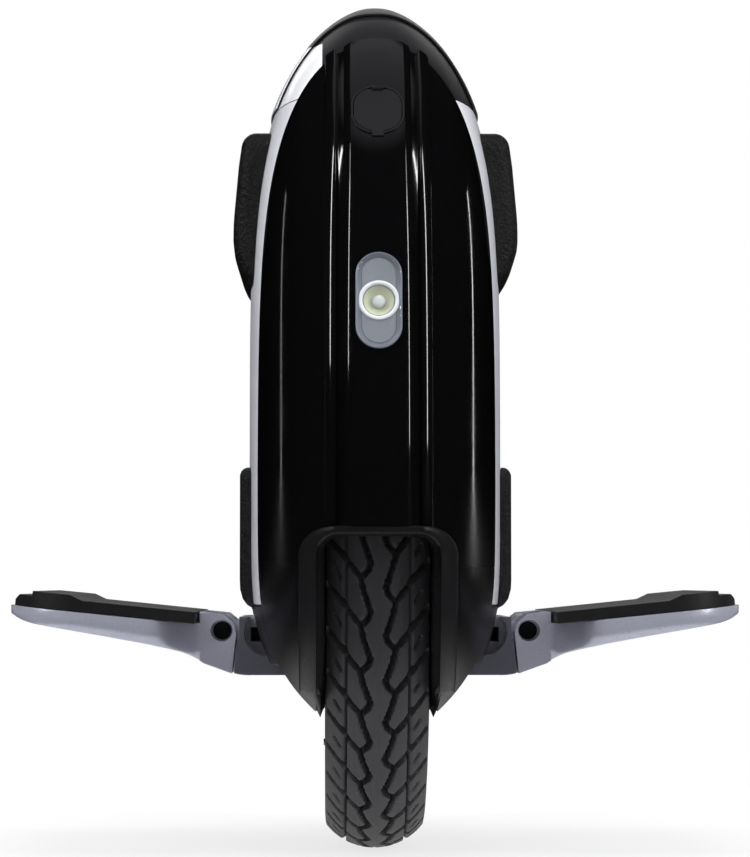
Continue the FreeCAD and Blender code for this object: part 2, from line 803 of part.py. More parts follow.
LINER_TURN = "2 * acos((arch_top_rise + arch_flange_wall + seam_gap) / liner_radius)"
node("wheel_liner", turned("wheel_liner", [
    ("-liner_side_reach", "liner_back_radius - liner_depth"),
    ("-liner_side_reach", "liner_back_radius - liner_shoulder"),
    ("-liner_crown_half_width", "liner_back_radius"),
    ("liner_crown_half_width", "liner_back_radius"),
    ("liner_side_reach", "liner_back_radius - liner_shoulder"),
    ("liner_side_reach", "liner_back_radius - liner_depth"),
    ("liner_half_width", "liner_back_radius - liner_depth"),
    ("liner_half_width", "liner_radius - liner_shoulder"),
    ("liner_crown_half_width - liner_wall / 2", "liner_radius"),
    ("liner_wall / 2 - liner_crown_half_width", "liner_radius"),
    ("-liner_half_width", "liner_radius - liner_shoulder"),
    ("-liner_half_width", "liner_back_radius - liner_depth"),
], angle=LINER_TURN))


# Front and rear covers: two ridges, a panel seat, the wheel arch with its return wall and a trim round it

def arch(name, grow, y):
    """The arch's outline, grown by grow, as a bar along y with round upper corners."""
    radius = f"(arch_corner_radius + ({grow}))"
    half = f"(arch_half_width + ({grow}))"
    top = f"(arch_top_height + ({grow}))"
    length = f"({y[1]}) - ({y[0]})"
    left = rod(f"{name}_left", "Y", radius, length, f"{radius} - {half}", y[0], f"{top} - {radius}")
    right = rod(f"{name}_right", "Y", radius, length, f"{half} - {radius}", y[0], f"{top} - {radius}")
    low = box(f"{name}_low", both(half), y, ("0", f"{top} - {radius}"))
    high = box(f"{name}_high", both(f"{half} - {radius}"), y, ("0", top))
    return fuse(name, low, high, left, right)


front_block = box("front_block", WIDE, FRONT, TALL)
flank_end = box("flank_end", WIDE, both("seam_reach + shell_wall"), ("0", "side_foot_height + shell_wall"))
arch_way = arch("arch_way", "0", FRONT)
arch_wall = arch("arch_wall", "arch_flange_wall", FRONT)
cover_hollow = cut("cover_hollow", inner_form, fuse("cover_walls", flank_end, arch_wall))
RIDGE = ("ridge_inner_offset", "ridge_inner_offset + ridge_width")
ABOVE_ARCH = ("arch_top_height + trim_width + seam_gap", TALL[1])
ridge_right = common("ridge_right", ridge_form, box("ridge_bar", RIDGE, FRONT, ABOVE_ARCH))
ridge_left = mirrored("ridge_left", ridge_right, AXIS_X)
cover_block = common("cover_block", outer_form, front_block)
cover_solid = fuse("cover_solid", cover_block, ridge_right, ridge_left)
cover_shell = cut("cover_shell", cover_solid, cover_hollow)
roof_way = box(
    "roof_way", both("liner_side_reach + seam_gap"), ("arch_roof_depth - shell_half_length", "0"),
    ("arch_top_height - arch_corner_radius", "arch_top_height + arch_flange_wall + seam_gap"),
)

trim_outside = arch("trim_outside", "trim_width", FRONT)
trim_foot = box("trim_foot", WIDE, LONG, ("0", "cover_foot_height + trim_foot_rise"))
trim_outline = cut("trim_outline", trim_outside, fuse("trim_ways", arch_way, trim_foot))
arch_trim = cut("arch_trim", common("trim_block", band_form, trim_outline), glue_form)
node("arch_trim_front", arch_trim)
node("arch_trim_rear", mirrored("arch_trim_rear", arch_trim, AXIS_Y))

panel_bar = box(
    "panel_bar", both("panel_half_width"), (FRONT[0], "panel_overhang - seam_reach"), ABOVE_ARCH,
)
panel_blank = cut("panel_blank", common("panel_block", panel_form, panel_bar), glue_form)


# Lamps, charge port and button stand square to the panel, in frames of (across, up the panel, outwards)

def panel_frame(rise):
    """The place on the panel's face at a rise over the axle, with its third axis square to the face."""
    height = size(f"axle_height + {rise}")
    grow = size("panel_height")
    step = size("seat_gap")
    fall = (form_length(height + step, grow) - form_length(height - step, grow)) / (2 * step)
    tilt = math.degrees(math.atan(-fall))
    base = FreeCAD.Vector(0, -form_length(height, grow), height)
    return FreeCAD.Placement(base, FreeCAD.Rotation(AXIS_X, 90 - tilt))


LAMP_FRAME = panel_frame("lamp_rise")
PORT_FRAME = panel_frame("crown_height - axle_height - port_drop")


def placed(obj, frame):
    obj.Placement = frame
    return obj


def pill(name, half_width, half_height, z):
    """A bar with a round-ended outline, between two places outwards."""
    length = f"({z[1]}) - ({z[0]})"
    reach = f"({half_height}) - ({half_width})"
    middle = box(f"{name}_middle", both(half_width), both(reach), z)
    top = rod(f"{name}_top", "Z", half_width, length, y=reach, z=z[0])
    foot = rod(f"{name}_foot", "Z", half_width, length, y=f"-({reach})", z=z[0])
    return fuse(name, middle, top, foot)


lamp_hole = placed(pill(
    "lamp_hole", "lamp_half_width + lamp_gap", "lamp_half_height + lamp_gap",
    ("-lamp_depth - overrun", "overrun"),
), LAMP_FRAME)
lamp_body = pill("lamp_body", "lamp_half_width", "lamp_half_height", ("-lamp_depth", "seat_gap"))
lamp_tray = pill(
    "lamp_tray", "lamp_half_width - lamp_rim", "lamp_half_height - lamp_rim",
    ("lamp_floor - lamp_depth", "overrun"),
)
lamp_housing = placed(cut("lamp_housing", lamp_body, lamp_tray), LAMP_FRAME)
lamp_lens = placed(pill(
    "lamp_lens", "lamp_half_width - lamp_rim - lamp_gap", "lamp_half_height - lamp_rim - lamp_gap",
    ("-lens_inset - lens_wall", "-lens_inset"),
), LAMP_FRAME)
node("headlight_bezel", lamp_housing)
node("headlight_lens", lamp_lens)
node("tail_light_housing", mirrored("tail_light_housing", lamp_housing, AXIS_Y))
node("tail_light_lens", mirrored("tail_light_lens", lamp_lens, AXIS_Y))

REFLECTOR_FOOT = "lamp_floor - lamp_depth + seat_gap"
cup_block = rod("cup_block", "Z", "reflector_radius", "reflector_height", z=REFLECTOR_FOOT)
cup_dish = doc.addObject("Part::Cone", "cup_dish")
bind(
    cup_dish, Radius1="led_radius + seat_gap", Radius2="reflector_radius - reflector_rim",
    Height="reflector_height - reflector_floor",
)
at(cup_dish, z=f"{REFLECTOR_FOOT} + reflector_floor")
node("headlight_reflector", placed(cut("headlight_reflector", cup_block, cup_dish), LAMP_FRAME))
LED_FOOT = f"{REFLECTOR_FOOT} + reflector_floor + press_gap"
led_base = rod("led_base", "Z", "led_radius", "led_height", z=LED_FOOT)
led_dome = doc.addObject("Part::Sphere", "led_dome")
bind(led_dome, Radius="led_radius - press_gap")
led_dome.Angle1 = 0
at(led_dome, z=f"{LED_FOOT} + led_height - press_gap")
node("headlight_led", placed(fuse("headlight_led", led_base, led_dome), LAMP_FRAME))

port_hole = placed(pill(
    "port_hole", "port_half_width + port_rim + lamp_gap", "port_half_height + port_rim + lamp_gap",
    ("-port_depth - overrun", "overrun"),
), PORT_FRAME)
port_body = pill(
    "port_body", "port_half_width + port_rim", "port_half_height + port_rim", ("-port_depth", "0"),
)
port_recess = pill(
    "port_recess", "port_half_width + cap_gap", "port_half_height + cap_gap",
    ("-cap_wall - cap_gap", "overrun"),
)
TAB_WAY = (
    both("cap_tab_half_width + cap_gap"),
    ("-port_half_height - cap_tab_reach - cap_gap", "0"),
    ("-cap_tab_wall - cap_gap", "overrun"),
)
port_tab_way = box("port_tab_way", *TAB_WAY)
panel_tab_way = placed(group("panel_tab_way", [box("panel_tab_bar", *TAB_WAY)]), PORT_FRAME)
port_tube = rod(
    "port_tube", "Z", "socket_radius", "socket_length + socket_floor + port_depth - port_floor",
    z="-socket_length - socket_floor - port_depth",
)
port_bore = rod(
    "port_bore", "Z", "socket_bore_radius", "socket_length + port_depth", z="-socket_length - port_depth",
)
port_seat = rod(
    "port_seat", "Z", "socket_bore_radius + socket_step", "cap_plug_height + cap_gap + port_floor",
    z="-cap_wall - cap_plug_height - cap_gap",
)
socket_base = fuse("socket_base", port_body, port_tube)
socket = cut("socket", socket_base, port_recess, port_bore, port_seat)
node("charge_socket", placed(cut("charge_socket", socket, port_tab_way), PORT_FRAME))

CAP_AXIS_UP = "port_half_height - cap_knuckle_radius - cap_gap"
cap_plate = pill("cap_plate", "port_half_width", "port_half_height", ("-cap_wall", "0"))
cap_trim = box(
    "cap_trim", both("port_half_width + overrun"), (CAP_AXIS_UP, "port_half_height + overrun"),
    ("-cap_wall - overrun", "overrun"),
)
cap_knuckle = rod(
    "cap_knuckle", "X", "cap_knuckle_radius", "2 * cap_knuckle_half_width",
    "-cap_knuckle_half_width", CAP_AXIS_UP, "0",
)
cap_plug = rod("cap_plug", "Z", "cap_plug_radius", "cap_plug_height", z="-cap_wall - cap_plug_height")
cap_tab = box(
    "cap_tab", both("cap_tab_half_width"),
    ("-port_half_height - cap_tab_reach", "-port_half_height + cap_tab_reach"), ("-cap_tab_wall", "0"),
)
cap_flap = cut("cap_flap", cap_plate, cap_trim)
node("charge_cap", placed(fuse("charge_cap", cap_flap, cap_knuckle, cap_plug, cap_tab), PORT_FRAME))


WELL_RADIUS = "button_radius + button_flange + button_gap + button_well_wall"
WELL_DEPTH = "2 * button_flange_wall + seat_gap + button_travel + button_gap"
button_hole = placed(group("button_hole", [rod(
    "button_hole_bar", "Z", f"{WELL_RADIUS} + lamp_gap", f"{WELL_DEPTH} + 2 * overrun",
    z=f"-({WELL_DEPTH}) - overrun",
)]), PORT_FRAME)
well_block = rod(
    "well_block", "Z", WELL_RADIUS, f"{WELL_DEPTH} + port_floor", z=f"-({WELL_DEPTH}) - port_floor",
)
well_mouth = rod(
    "well_mouth", "Z", "button_radius + button_gap", f"{WELL_DEPTH} + overrun", z=f"-({WELL_DEPTH})",
)
well_room = rod(
    "well_room", "Z", "button_radius + button_flange + button_gap",
    f"{WELL_DEPTH} - button_flange_wall", z=f"-({WELL_DEPTH})",
)
button_well = placed(cut("button_well", well_block, well_mouth, well_room), PORT_FRAME)
node("button_bezel", mirrored("button_bezel", button_well, AXIS_Y))
BUTTON_FOOT = "-2 * button_flange_wall - seat_gap"
button_top = rod("button_top", "Z", "button_radius", f"button_proud - ({BUTTON_FOOT})", z=BUTTON_FOOT)
button_rim = rod("button_rim", "Z", "button_radius + button_flange", "button_flange_wall", z=BUTTON_FOOT)
button = placed(fuse("button", button_top, button_rim), PORT_FRAME)
node("power_button", mirrored("power_button", button, AXIS_Y))

front_holes = fuse("front_holes", lamp_hole, port_hole)
rear_holes = fuse("rear_holes", lamp_hole, button_hole)
node("front_cover", cut("front_cover", cover_shell, fuse("front_ways", arch_way, roof_way, front_holes)))
node("front_panel", cut("front_panel", panel_blank, fuse("panel_holes", front_holes, panel_tab_way)))
rear_cover = cut("rear_cover_blank", cover_shell, fuse("rear_ways", arch_way, roof_way, rear_holes))
node("rear_cover", mirrored("rear_cover", rear_cover, AXIS_Y))
node("rear_panel", mirrored("rear_panel", cut("rear_panel_blank", panel_blank, rear_holes), AXIS_Y))

# Side shells, with the lower guards under them, between the two covers

MIDDLE = both("seam_reach - seam_gap")
OUTSIDE = ("shell_inner_reach", WIDE[1])
side_block = box(
    "side_block", OUTSIDE, MIDDLE, ("side_foot_height", "handle_base_height - seam_gap"),
)
side_full = common("side_full", outer_form, side_block)
pair("side_shell", cut("side_shell_right", side_full, inner_form))

GUARD_FOOT = "axle_height - side_foot_drop - guard_drop"
guard_block = box("guard_block", OUTSIDE, MIDDLE, (GUARD_FOOT, "side_foot_height - seam_gap"))
arm_way = box("arm_way", WIDE, both("arm_half_length + arm_gap"), ("0", "arm_top_height + arm_gap"))
guard_outline = cut("guard_outline", guard_block, arm_way)
guard_full = common("guard_full", outer_form, guard_outline)
pair("lower_guard", cut("lower_guard_right", guard_full, inner_form))

# Carry handle: the crown of the form, with a finger slot under the bar and a soft band over it

SLOT = ("grip_slot_height_low", "grip_slot_height_low + grip_slot_height")
SLOT_RADIUS = "grip_slot_height / 2"
SLOT_REACH = "grip_slot_half_length - grip_slot_height / 2"
slot_middle = box("slot_middle", WIDE, both(SLOT_REACH), SLOT)
SLOT_MIDDLE = f"{SLOT[0]} + {SLOT_RADIUS}"
slot_ends = [
    rod(f"slot_end_{side}", "X", SLOT_RADIUS, f"2 * ({WIDE[1]})", WIDE[0], reach, SLOT_MIDDLE)
    for side, reach in zip(("front", "rear"), both(SLOT_REACH))
]
bar_side = box("bar_side", ("grip_bar_half_width", WIDE[1]), both(SLOT_REACH), (SLOT_MIDDLE, TALL[1]))
bar_side_left = mirrored("bar_side_left", bar_side, AXIS_X)
finger_slot = fuse("finger_slot", slot_middle, *slot_ends, bar_side, bar_side_left)
handle_block = box("handle_block", WIDE, MIDDLE, ("handle_base_height", TALL[1]))
handle_full = common("handle_full", outer_form, handle_block)
panel_way = box(
    "panel_way", both("panel_half_width + seam_gap"),
    (LONG[0], "panel_overhang + seam_gap - seam_reach"), TALL,
)
panel_way_rear = mirrored("panel_way_rear", panel_way, AXIS_Y)
LEG_MIDDLE = "(grip_slot_half_length + seam_reach - panel_overhang) / 2"
leg_pocket = box(
    "leg_pocket", both("leg_pocket_half_width"),
    (f"{LEG_MIDDLE} - leg_pocket_length / 2", f"{LEG_MIDDLE} + leg_pocket_length / 2"),
    ("0", "handle_base_height + leg_pocket_height"),
)
leg_pocket_front = mirrored("leg_pocket_front", leg_pocket, AXIS_Y)
handle_ways = fuse("handle_ways", finger_slot, panel_way, panel_way_rear, leg_pocket, leg_pocket_front)
node("carry_handle", cut("carry_handle", handle_full, handle_ways))
band_block = box(
    "band_block", WIDE, both("grip_slot_half_length + band_margin"),
    ("handle_base_height + seam_gap", TALL[1]),
)
band_outline = cut("band_outline", band_block, finger_slot)
node("handle_band", cut("handle_band", common("band_full", band_form, band_outline), glue_form))

# Leg pads, moulded foam, cut to the form they are glued on

upper_pad = prism("upper_pad", [
    ("shell_half_width - pad_root", "upper_pad_low"),
    ("shell_half_width + upper_pad_foot_wall", "upper_pad_low"),
    ("shell_half_width + upper_pad_wall", "upper_pad_low + upper_pad_bevel"),
    ("shell_half_width + upper_pad_wall", "upper_pad_low + upper_pad_belly"),
    ("shell_half_width + upper_pad_top_wall", "upper_pad_low + upper_pad_height"),
    ("shell_half_width - pad_root", "upper_pad_low + upper_pad_height"),
], "upper_pad_half_length", [(every_edge, "upper_pad_round")])
pair("upper_pad", cut("upper_pad_right", upper_pad, glue_form))
lower_pad = prism("lower_pad", [
    ("shell_half_width - pad_root", "lower_pad_low"),
    ("shell_half_width - lower_pad_foot_inset", "lower_pad_low"),
    ("lower_pad_reach", "lower_pad_low + lower_pad_bevel"),
    ("lower_pad_reach", "lower_pad_low + lower_pad_height - lower_pad_top_bevel"),
    ("lower_pad_reach - lower_pad_top_bevel", "lower_pad_low + lower_pad_height"),
    ("shell_half_width - pad_root", "lower_pad_low + lower_pad_height"),
], "lower_pad_half_length", [(every_edge, "lower_pad_round")])
pair("lower_pad", cut("lower_pad_right", lower_pad, glue_form))

# Hangers: a plate clamped on the axle, and an arm that carries the pedal's pin

arm = prism("arm", [
    ("hanger_offset", "arm_foot_height"),
    ("arm_reach - arm_heel", "arm_foot_height"),
    ("arm_reach", "arm_foot_height + arm_heel / 2"),
    ("arm_reach", "arm_top_height"),
    ("hanger_offset", "arm_top_height"),
], "arm_half_length")
plate = box(
    "hanger_plate", ("hanger_offset", "hanger_face"), both("hanger_half_length"),
    ("arm_foot_height", "axle_height + hanger_top_rise"),
)
lug_bar = rod(
    "lug_bar", "Y", "lug_radius", "2 * lug_half_length", "pivot_offset", "-lug_half_length", "pivot_height",
)
lug_neck = box(
    "lug_neck", ("arm_reach - scoop_wall", "pivot_offset"), both("lug_half_length"),
    ("pivot_height - lug_radius", "pivot_height"),
)
SCOOP_X = "arm_reach - scoop_wall - scoop_radius"
SCOOP_Z = "arm_foot_height + scoop_foot + scoop_radius"
scoop_front = rod(
    "scoop_front", "Y", "scoop_radius", "scoop_depth + overrun",
    SCOOP_X, "-arm_half_length - overrun", SCOOP_Z,
)
scoop_rear = mirrored("scoop_rear", scoop_front, AXIS_Y)
WINDOW_X = ("arm_reach - window_inset - window_width", "arm_reach - window_inset")
WINDOW_Z = ("arm_top_height - window_drop - window_height", "arm_top_height - window_drop")
window = box("window", WINDOW_X, both("arm_half_length + overrun"), WINDOW_Z)
axle_way = rod(
    "axle_way", "X", "axle_end_radius + press_gap", "hanger_wall + 2 * overrun",
    "hanger_offset - overrun", z="axle_height",
)
pin_seat = rod(
    "pin_seat", "Y", "pin_radius + press_gap", "2 * (lug_half_length + overrun)",
    "pivot_offset", "-lug_half_length - overrun", "pivot_height",
)


def bolt_parts(name, y):
    """A bolt in the hanger's plate, as its bar, its head and the hole it needs."""
    z = "axle_height - clamp_bolt_drop"
    shank = rod(f"{name}_shank", "X", "clamp_bolt_radius", "hanger_wall", "hanger_offset", y, z)
    head = rod(f"{name}_head", "X", "clamp_bolt_head_radius", "clamp_bolt_head_height", "hanger_face", y, z)
    hole = rod(
        f"{name}_hole", "X", "clamp_bolt_radius + press_gap", "hanger_wall + 2 * overrun",
        "hanger_offset - overrun", y, z,
    )
    return fuse(f"{name}_bolt", shank, head), hole


front_bolt, front_bolt_hole = bolt_parts("front", "-clamp_bolt_reach")
rear_bolt, rear_bolt_hole = bolt_parts("rear", "clamp_bolt_reach")
hanger_block = fuse("hanger_block", arm, plate, lug_bar, lug_neck)
pair("hanger", cut(
    "hanger_right", hanger_block, scoop_front, scoop_rear, window, axle_way, pin_seat,
    front_bolt_hole, rear_bolt_hole,
))
bolts = group("bolts_right", [front_bolt, rear_bolt])
node("hanger_bolts", group("hanger_bolts", [bolts, mirrored("bolts_left", bolts, AXIS_X)]))
pair("pedal_pin", rod(
    "pedal_pin_right", "Y", "pin_radius", "2 * pin_half_length",
    "pivot_offset", "-pin_half_length", "pivot_height",
))
standoffs = group("standoffs_right", [
    rod(
        f"standoff_{side}", "X", "standoff_radius",
        "axle_reach + shell_clearance - hanger_face - seat_gap - glue_gap",
        "hanger_face + seat_gap", reach, "axle_height + standoff_rise",
    )
    for side, reach in zip(("front", "rear"), both("standoff_reach"))
])
node("shell_standoffs", group("shell_standoffs", [standoffs, mirrored("standoffs_left", standoffs, AXIS_X)]))

# Pedals, drawn about their pin: a cast deck with two ears either side of the hanger's lug, and a rubber grip


def upright(edge):
    """Whether an edge of a bar along Y is one of the tip's short edges."""
    ends = [vertex.Point for vertex in edge.Vertexes]
    reach = size("deck_reach - grip_margin - seat_gap")
    far = all(end.x > reach - size("grip_margin") for end in ends)
    return far and abs(ends[0].y - ends[1].y) < size("seat_gap")


ROOT_CORNER_SHARE = 0.7

deck = prism("deck", [
    ("-root_back", "-root_drop"),
    ("root_foot_reach", "-root_drop + root_foot_rise"),
    ("root_neck_reach", "-root_neck_drop"),
    ("deck_mid_reach", "deck_rise - grip_wall - deck_wall"),
    ("deck_reach - deck_tip_slope", "deck_rise - grip_wall - (deck_wall + deck_tip_wall) / 2"),
    ("deck_reach", "deck_rise - grip_wall - deck_tip_wall"),
    ("deck_reach", "deck_rise - grip_wall"),
    ("grip_reach", "deck_rise - grip_wall"),
    ("grip_reach", "deck_rise"),
    ("0", "deck_rise"),
    (f"-{ROOT_CORNER_SHARE} * root_back", f"{ROOT_CORNER_SHARE} * root_back"),
    ("-root_back", "0"),
], "deck_half_length", [(upright, "deck_corner_radius")])
root_side = box(
    "root_side", ("-root_back - overrun", "root_neck_reach"),
    ("arm_half_length", "deck_half_length + overrun"),
    ("-root_drop - overrun", "deck_rise - grip_wall"),
)
root_side_top = box(
    "root_side_top", ("-root_back - overrun", "grip_reach"),
    ("arm_half_length", "deck_half_length + overrun"),
    ("-root_drop - overrun", "deck_rise + overrun"),
)
root_slot = box(
    "root_slot", ("-root_back - overrun", "root_slot_reach"), both("lug_half_length + ear_gap"),
    ("-root_drop - overrun", "deck_rise + overrun"),
)
pin_way = rod("pin_way", "Y", "pin_radius + running_gap", "2 * deck_half_length", y="-deck_half_length")
pin_mouth = rod("pin_mouth", "Y", "pin_bore_radius", "deck_half_length", y="pin_half_length")
pedal = cut(
    "pedal_right", deck, root_side, mirrored("root_side_front", root_side, AXIS_Y),
    root_side_top, mirrored("root_side_top_front", root_side_top, AXIS_Y),
    root_slot, pin_way, pin_mouth, mirrored("pin_mouth_front", pin_mouth, AXIS_Y),
)
STRIP_END = "deck_reach - strip_inset"
STRIP_START = "deck_reach - strip_inset - strip_width"
grip = prism("grip", [
    ("grip_reach + grip_gap", "deck_rise - grip_wall + grip_gap"),
    ("deck_reach - grip_margin", "deck_rise - grip_wall + grip_gap"),
    ("deck_reach - grip_margin", "deck_rise - grip_wall / 2"),
    ("deck_reach - grip_margin - grip_wall / 2", "deck_rise"),
    (STRIP_END, "deck_rise"),
    (STRIP_END, "deck_rise + strip_height"),
    (STRIP_START, "deck_rise + strip_height"),
    (f"{STRIP_START} - strip_ramp", "deck_rise"),
    ("grip_reach + grip_gap", "deck_rise"),
], "deck_half_length - grip_margin", [(upright, "deck_corner_radius - grip_margin")])
DECK_TURN = FreeCAD.Rotation(AXIS_Y, -DECK_SLOPE_DEG)


def on_pin(name, source):
    source.Placement.Rotation = DECK_TURN
    pair(name, at(source, "pivot_offset", "0", "pivot_height"))


on_pin("pedal", pedal)
on_pin("pedal_grip", grip)

# Batteries beside the liner, and the controller on top of it

battery = prism("battery", [
    ("shell_inner_reach", "liner_top_height - battery_drop"),
    ("shell_inner_reach + battery_wall", "liner_top_height - battery_drop"),
    ("shell_inner_reach + battery_wall", "liner_top_height - battery_drop + battery_height"),
    ("shell_inner_reach", "liner_top_height - battery_drop + battery_height"),
], "battery_half_length", [(every_edge, "battery_round")])
pair("battery", battery)
SINK_FOOT = "liner_top_height + seam_gap"
node("heatsink", box(
    "heatsink", both("heatsink_half_width"), both("heatsink_half_length"),
    (SINK_FOOT, f"{SINK_FOOT} + heatsink_wall"),
))
node("controller_board", box(
    "controller_board", both("heatsink_half_width - board_margin"),
    both("heatsink_half_length - board_margin"),
    ("board_height", "board_height + board_wall"),
))
node("capacitors", group("capacitors", [
    rod(
        f"capacitor_{step + 1}", "Z", "capacitor_radius", "capacitor_height",
        y=f"capacitor_pitch * {step - (CAPACITOR_COUNT - 1) / 2}", z="board_height + board_wall + seat_gap",
    )
    for step in range(CAPACITOR_COUNT)
]))

# Motor cable: up from the axle's collar, back under the battery, up behind it and over to the board

BEND_SHARE = 0.45
BOARD_CORNER = ("heatsink_half_width - 2 * board_margin", "heatsink_half_length - 3 * board_margin")
ROUTE = [
    ("cable_offset", "0", "axle_height + collar_radius + seat_gap"),
    ("cable_offset", "0", "axle_height + collar_radius + cable_rise"),
    ("cable_offset", "cable_reach", "axle_height + collar_radius + cable_rise"),
    ("cable_offset", "cable_reach", "board_height + cable_loop"),
    (*BOARD_CORNER, "board_height + cable_loop"),
    (*BOARD_CORNER, "board_height + board_wall + seat_gap"),
]


def rounded_route(points):
    """A wire through points, with an arc at each turn as large as its two runs allow."""
    edges = []
    start = points[0]
    for before, corner, after in zip(points, points[1:], points[2:]):
        back = (before - corner).normalize()
        on = (after - corner).normalize()
        reach = BEND_SHARE * min(before.distanceToPoint(corner), after.distanceToPoint(corner))
        half_turn = (math.pi - back.getAngle(on)) / 2
        radius = reach / math.tan(half_turn)
        inner = FreeCAD.Vector(back + on).normalize()
        middle = corner + inner * (radius / math.cos(half_turn) - radius)
        edges.append(Part.makeLine(start, corner + back * reach))
        edges.append(Part.Arc(corner + back * reach, middle, corner + on * reach).toShape())
        start = corner + on * reach
    edges.append(Part.makeLine(start, points[-1]))
    return Part.Wire(edges)


route = rounded_route([FreeCAD.Vector(*[size(text) for text in place]) for place in ROUTE])
ring = Part.Wire([Part.makeCircle(size("cable_radius"), route.Vertexes[0].Point, AXIS_Z)])
cable = doc.addObject("Part::Feature", "motor_cable")
cable.Shape = route.makePipeShell([ring], True, False)
node("motor_cable", cable)
print(f"motor cable: {route.Length:.1f} mm along its route, filled to "
      f"{cable.Shape.Volume / (route.Length * math.pi * size('cable_radius') ** 2):.4f} of its section")

doc.recompute()
faults = [obj.Label for obj in doc.Objects if {"Invalid", "Error"} & set(obj.State)]
for label, obj in nodes.items():
    if obj.Shape.isNull() or not obj.Shape.isValid() or not obj.Shape.Solids:
        faults.append(label)
if faults:
    raise RuntimeError(f"not sound: {', '.join(faults)}")

os.makedirs("parts", exist_ok=True)
for label, obj in nodes.items():
    obj.Shape.exportStep(f"parts/{label}.step")
print(f"{len(nodes)} pieces written")
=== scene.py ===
import json
import math

import bmesh
import bpy
import numpy as np
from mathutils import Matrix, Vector

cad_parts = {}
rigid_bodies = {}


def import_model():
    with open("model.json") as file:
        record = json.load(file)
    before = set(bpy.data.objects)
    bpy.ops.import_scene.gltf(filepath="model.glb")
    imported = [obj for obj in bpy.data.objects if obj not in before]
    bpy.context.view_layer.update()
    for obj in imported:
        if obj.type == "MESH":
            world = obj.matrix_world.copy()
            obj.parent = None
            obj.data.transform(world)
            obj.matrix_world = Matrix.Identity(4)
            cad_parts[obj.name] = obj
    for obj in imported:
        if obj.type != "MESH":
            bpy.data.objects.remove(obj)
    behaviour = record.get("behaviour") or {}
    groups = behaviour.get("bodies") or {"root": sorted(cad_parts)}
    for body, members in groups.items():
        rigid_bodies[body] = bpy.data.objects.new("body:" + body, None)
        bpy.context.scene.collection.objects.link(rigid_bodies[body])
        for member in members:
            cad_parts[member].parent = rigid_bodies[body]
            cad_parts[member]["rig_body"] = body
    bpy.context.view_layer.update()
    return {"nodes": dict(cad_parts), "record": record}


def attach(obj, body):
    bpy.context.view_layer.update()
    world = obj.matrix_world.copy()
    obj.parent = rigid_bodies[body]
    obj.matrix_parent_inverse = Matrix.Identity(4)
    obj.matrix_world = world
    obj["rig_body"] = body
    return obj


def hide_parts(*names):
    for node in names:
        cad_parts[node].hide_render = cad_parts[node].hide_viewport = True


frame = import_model()
mm = 0.001
print("frame loaded:", len(frame["nodes"]), "nodes")


def hexLinear(code):  # sRGB hex to linear, channel by channel
    shares = np.array([int(code[i:i + 2], 16) for i in (0, 2, 4)]) / 255
    linear = np.where(shares <= 0.04045, shares / 12.92, ((shares + 0.055) / 1.055) ** 2.4)
    return tuple(float(value) for value in linear) + (1.0,)


def addNode(tree, kind, sockets=None, **settings):  # one node with its settings, values and links
    node = tree.nodes.new("ShaderNode" + kind)
    for name, value in settings.items():
        setattr(node, name, value)
    for name, value in (sockets or {}).items():
        if isinstance(value, bpy.types.NodeSocket):
            tree.links.new(value, node.inputs[name])
        else:
            node.inputs[name].default_value = value
    return node


def newMaterial(name):
    material = bpy.data.materials.new(name)
    material.use_nodes = True
    material.node_tree.nodes.clear()
    return material, material.node_tree


def perMetre(sizeMm):  # a pattern's scale in repeats a metre, from its size in millimetres
    return 1000.0 / sizeMm


def grid(points, wrapRows=False, wrapCols=False, flip=False):
    # rows x columns x 3 points as one list of points and one of quads between neighbours
    rows, cols = points.shape[:2]
    index = np.arange(rows * cols).reshape(rows, cols)
    if wrapRows:
        index = np.concatenate([index, index[:1]], axis=0)
    if wrapCols:
        index = np.concatenate([index, index[:, :1]], axis=1)
    quads = np.stack([index[:-1, :-1], index[:-1, 1:], index[1:, 1:], index[1:, :-1]], axis=-1)
    quads = quads.reshape(-1, 4)
    return points.reshape(-1, 3), quads[:, ::-1] if flip else quads


def mirrored(surfaces, axis):  # the same surfaces on the other side, still facing outwards
    turn = np.ones(3)
    turn[axis] = -1
    return [(points * turn, quads[:, ::-1]) for points, quads in surfaces]


def joined(surfaces):  # several surfaces as one list of points, in metres, and one of quads
    starts = np.cumsum([0] + [len(points) for points, _ in surfaces])
    points = np.concatenate([points for points, _ in surfaces]) * mm
    return points, np.concatenate([quads + start for (_, quads), start in zip(surfaces, starts)])


def makePiece(name, surfaces, body, material, nodes=(), sharp=40, outward=False):
    points, quads = joined(surfaces)
    mesh = bpy.data.meshes.new(name)
    mesh.vertices.add(len(points))
    mesh.vertices.foreach_set("co", points.astype(np.float32).ravel())
    mesh.loops.add(quads.size)
    mesh.loops.foreach_set("vertex_index", quads.astype(np.int32).ravel())
    mesh.polygons.add(len(quads))
    mesh.polygons.foreach_set("loop_start", np.arange(0, quads.size, 4, dtype=np.int32))
    mesh.update(calc_edges=True)
    weld(mesh, outward)
    return finishPiece(bpy.data.objects.new(name, mesh), body, material, nodes, sharp)


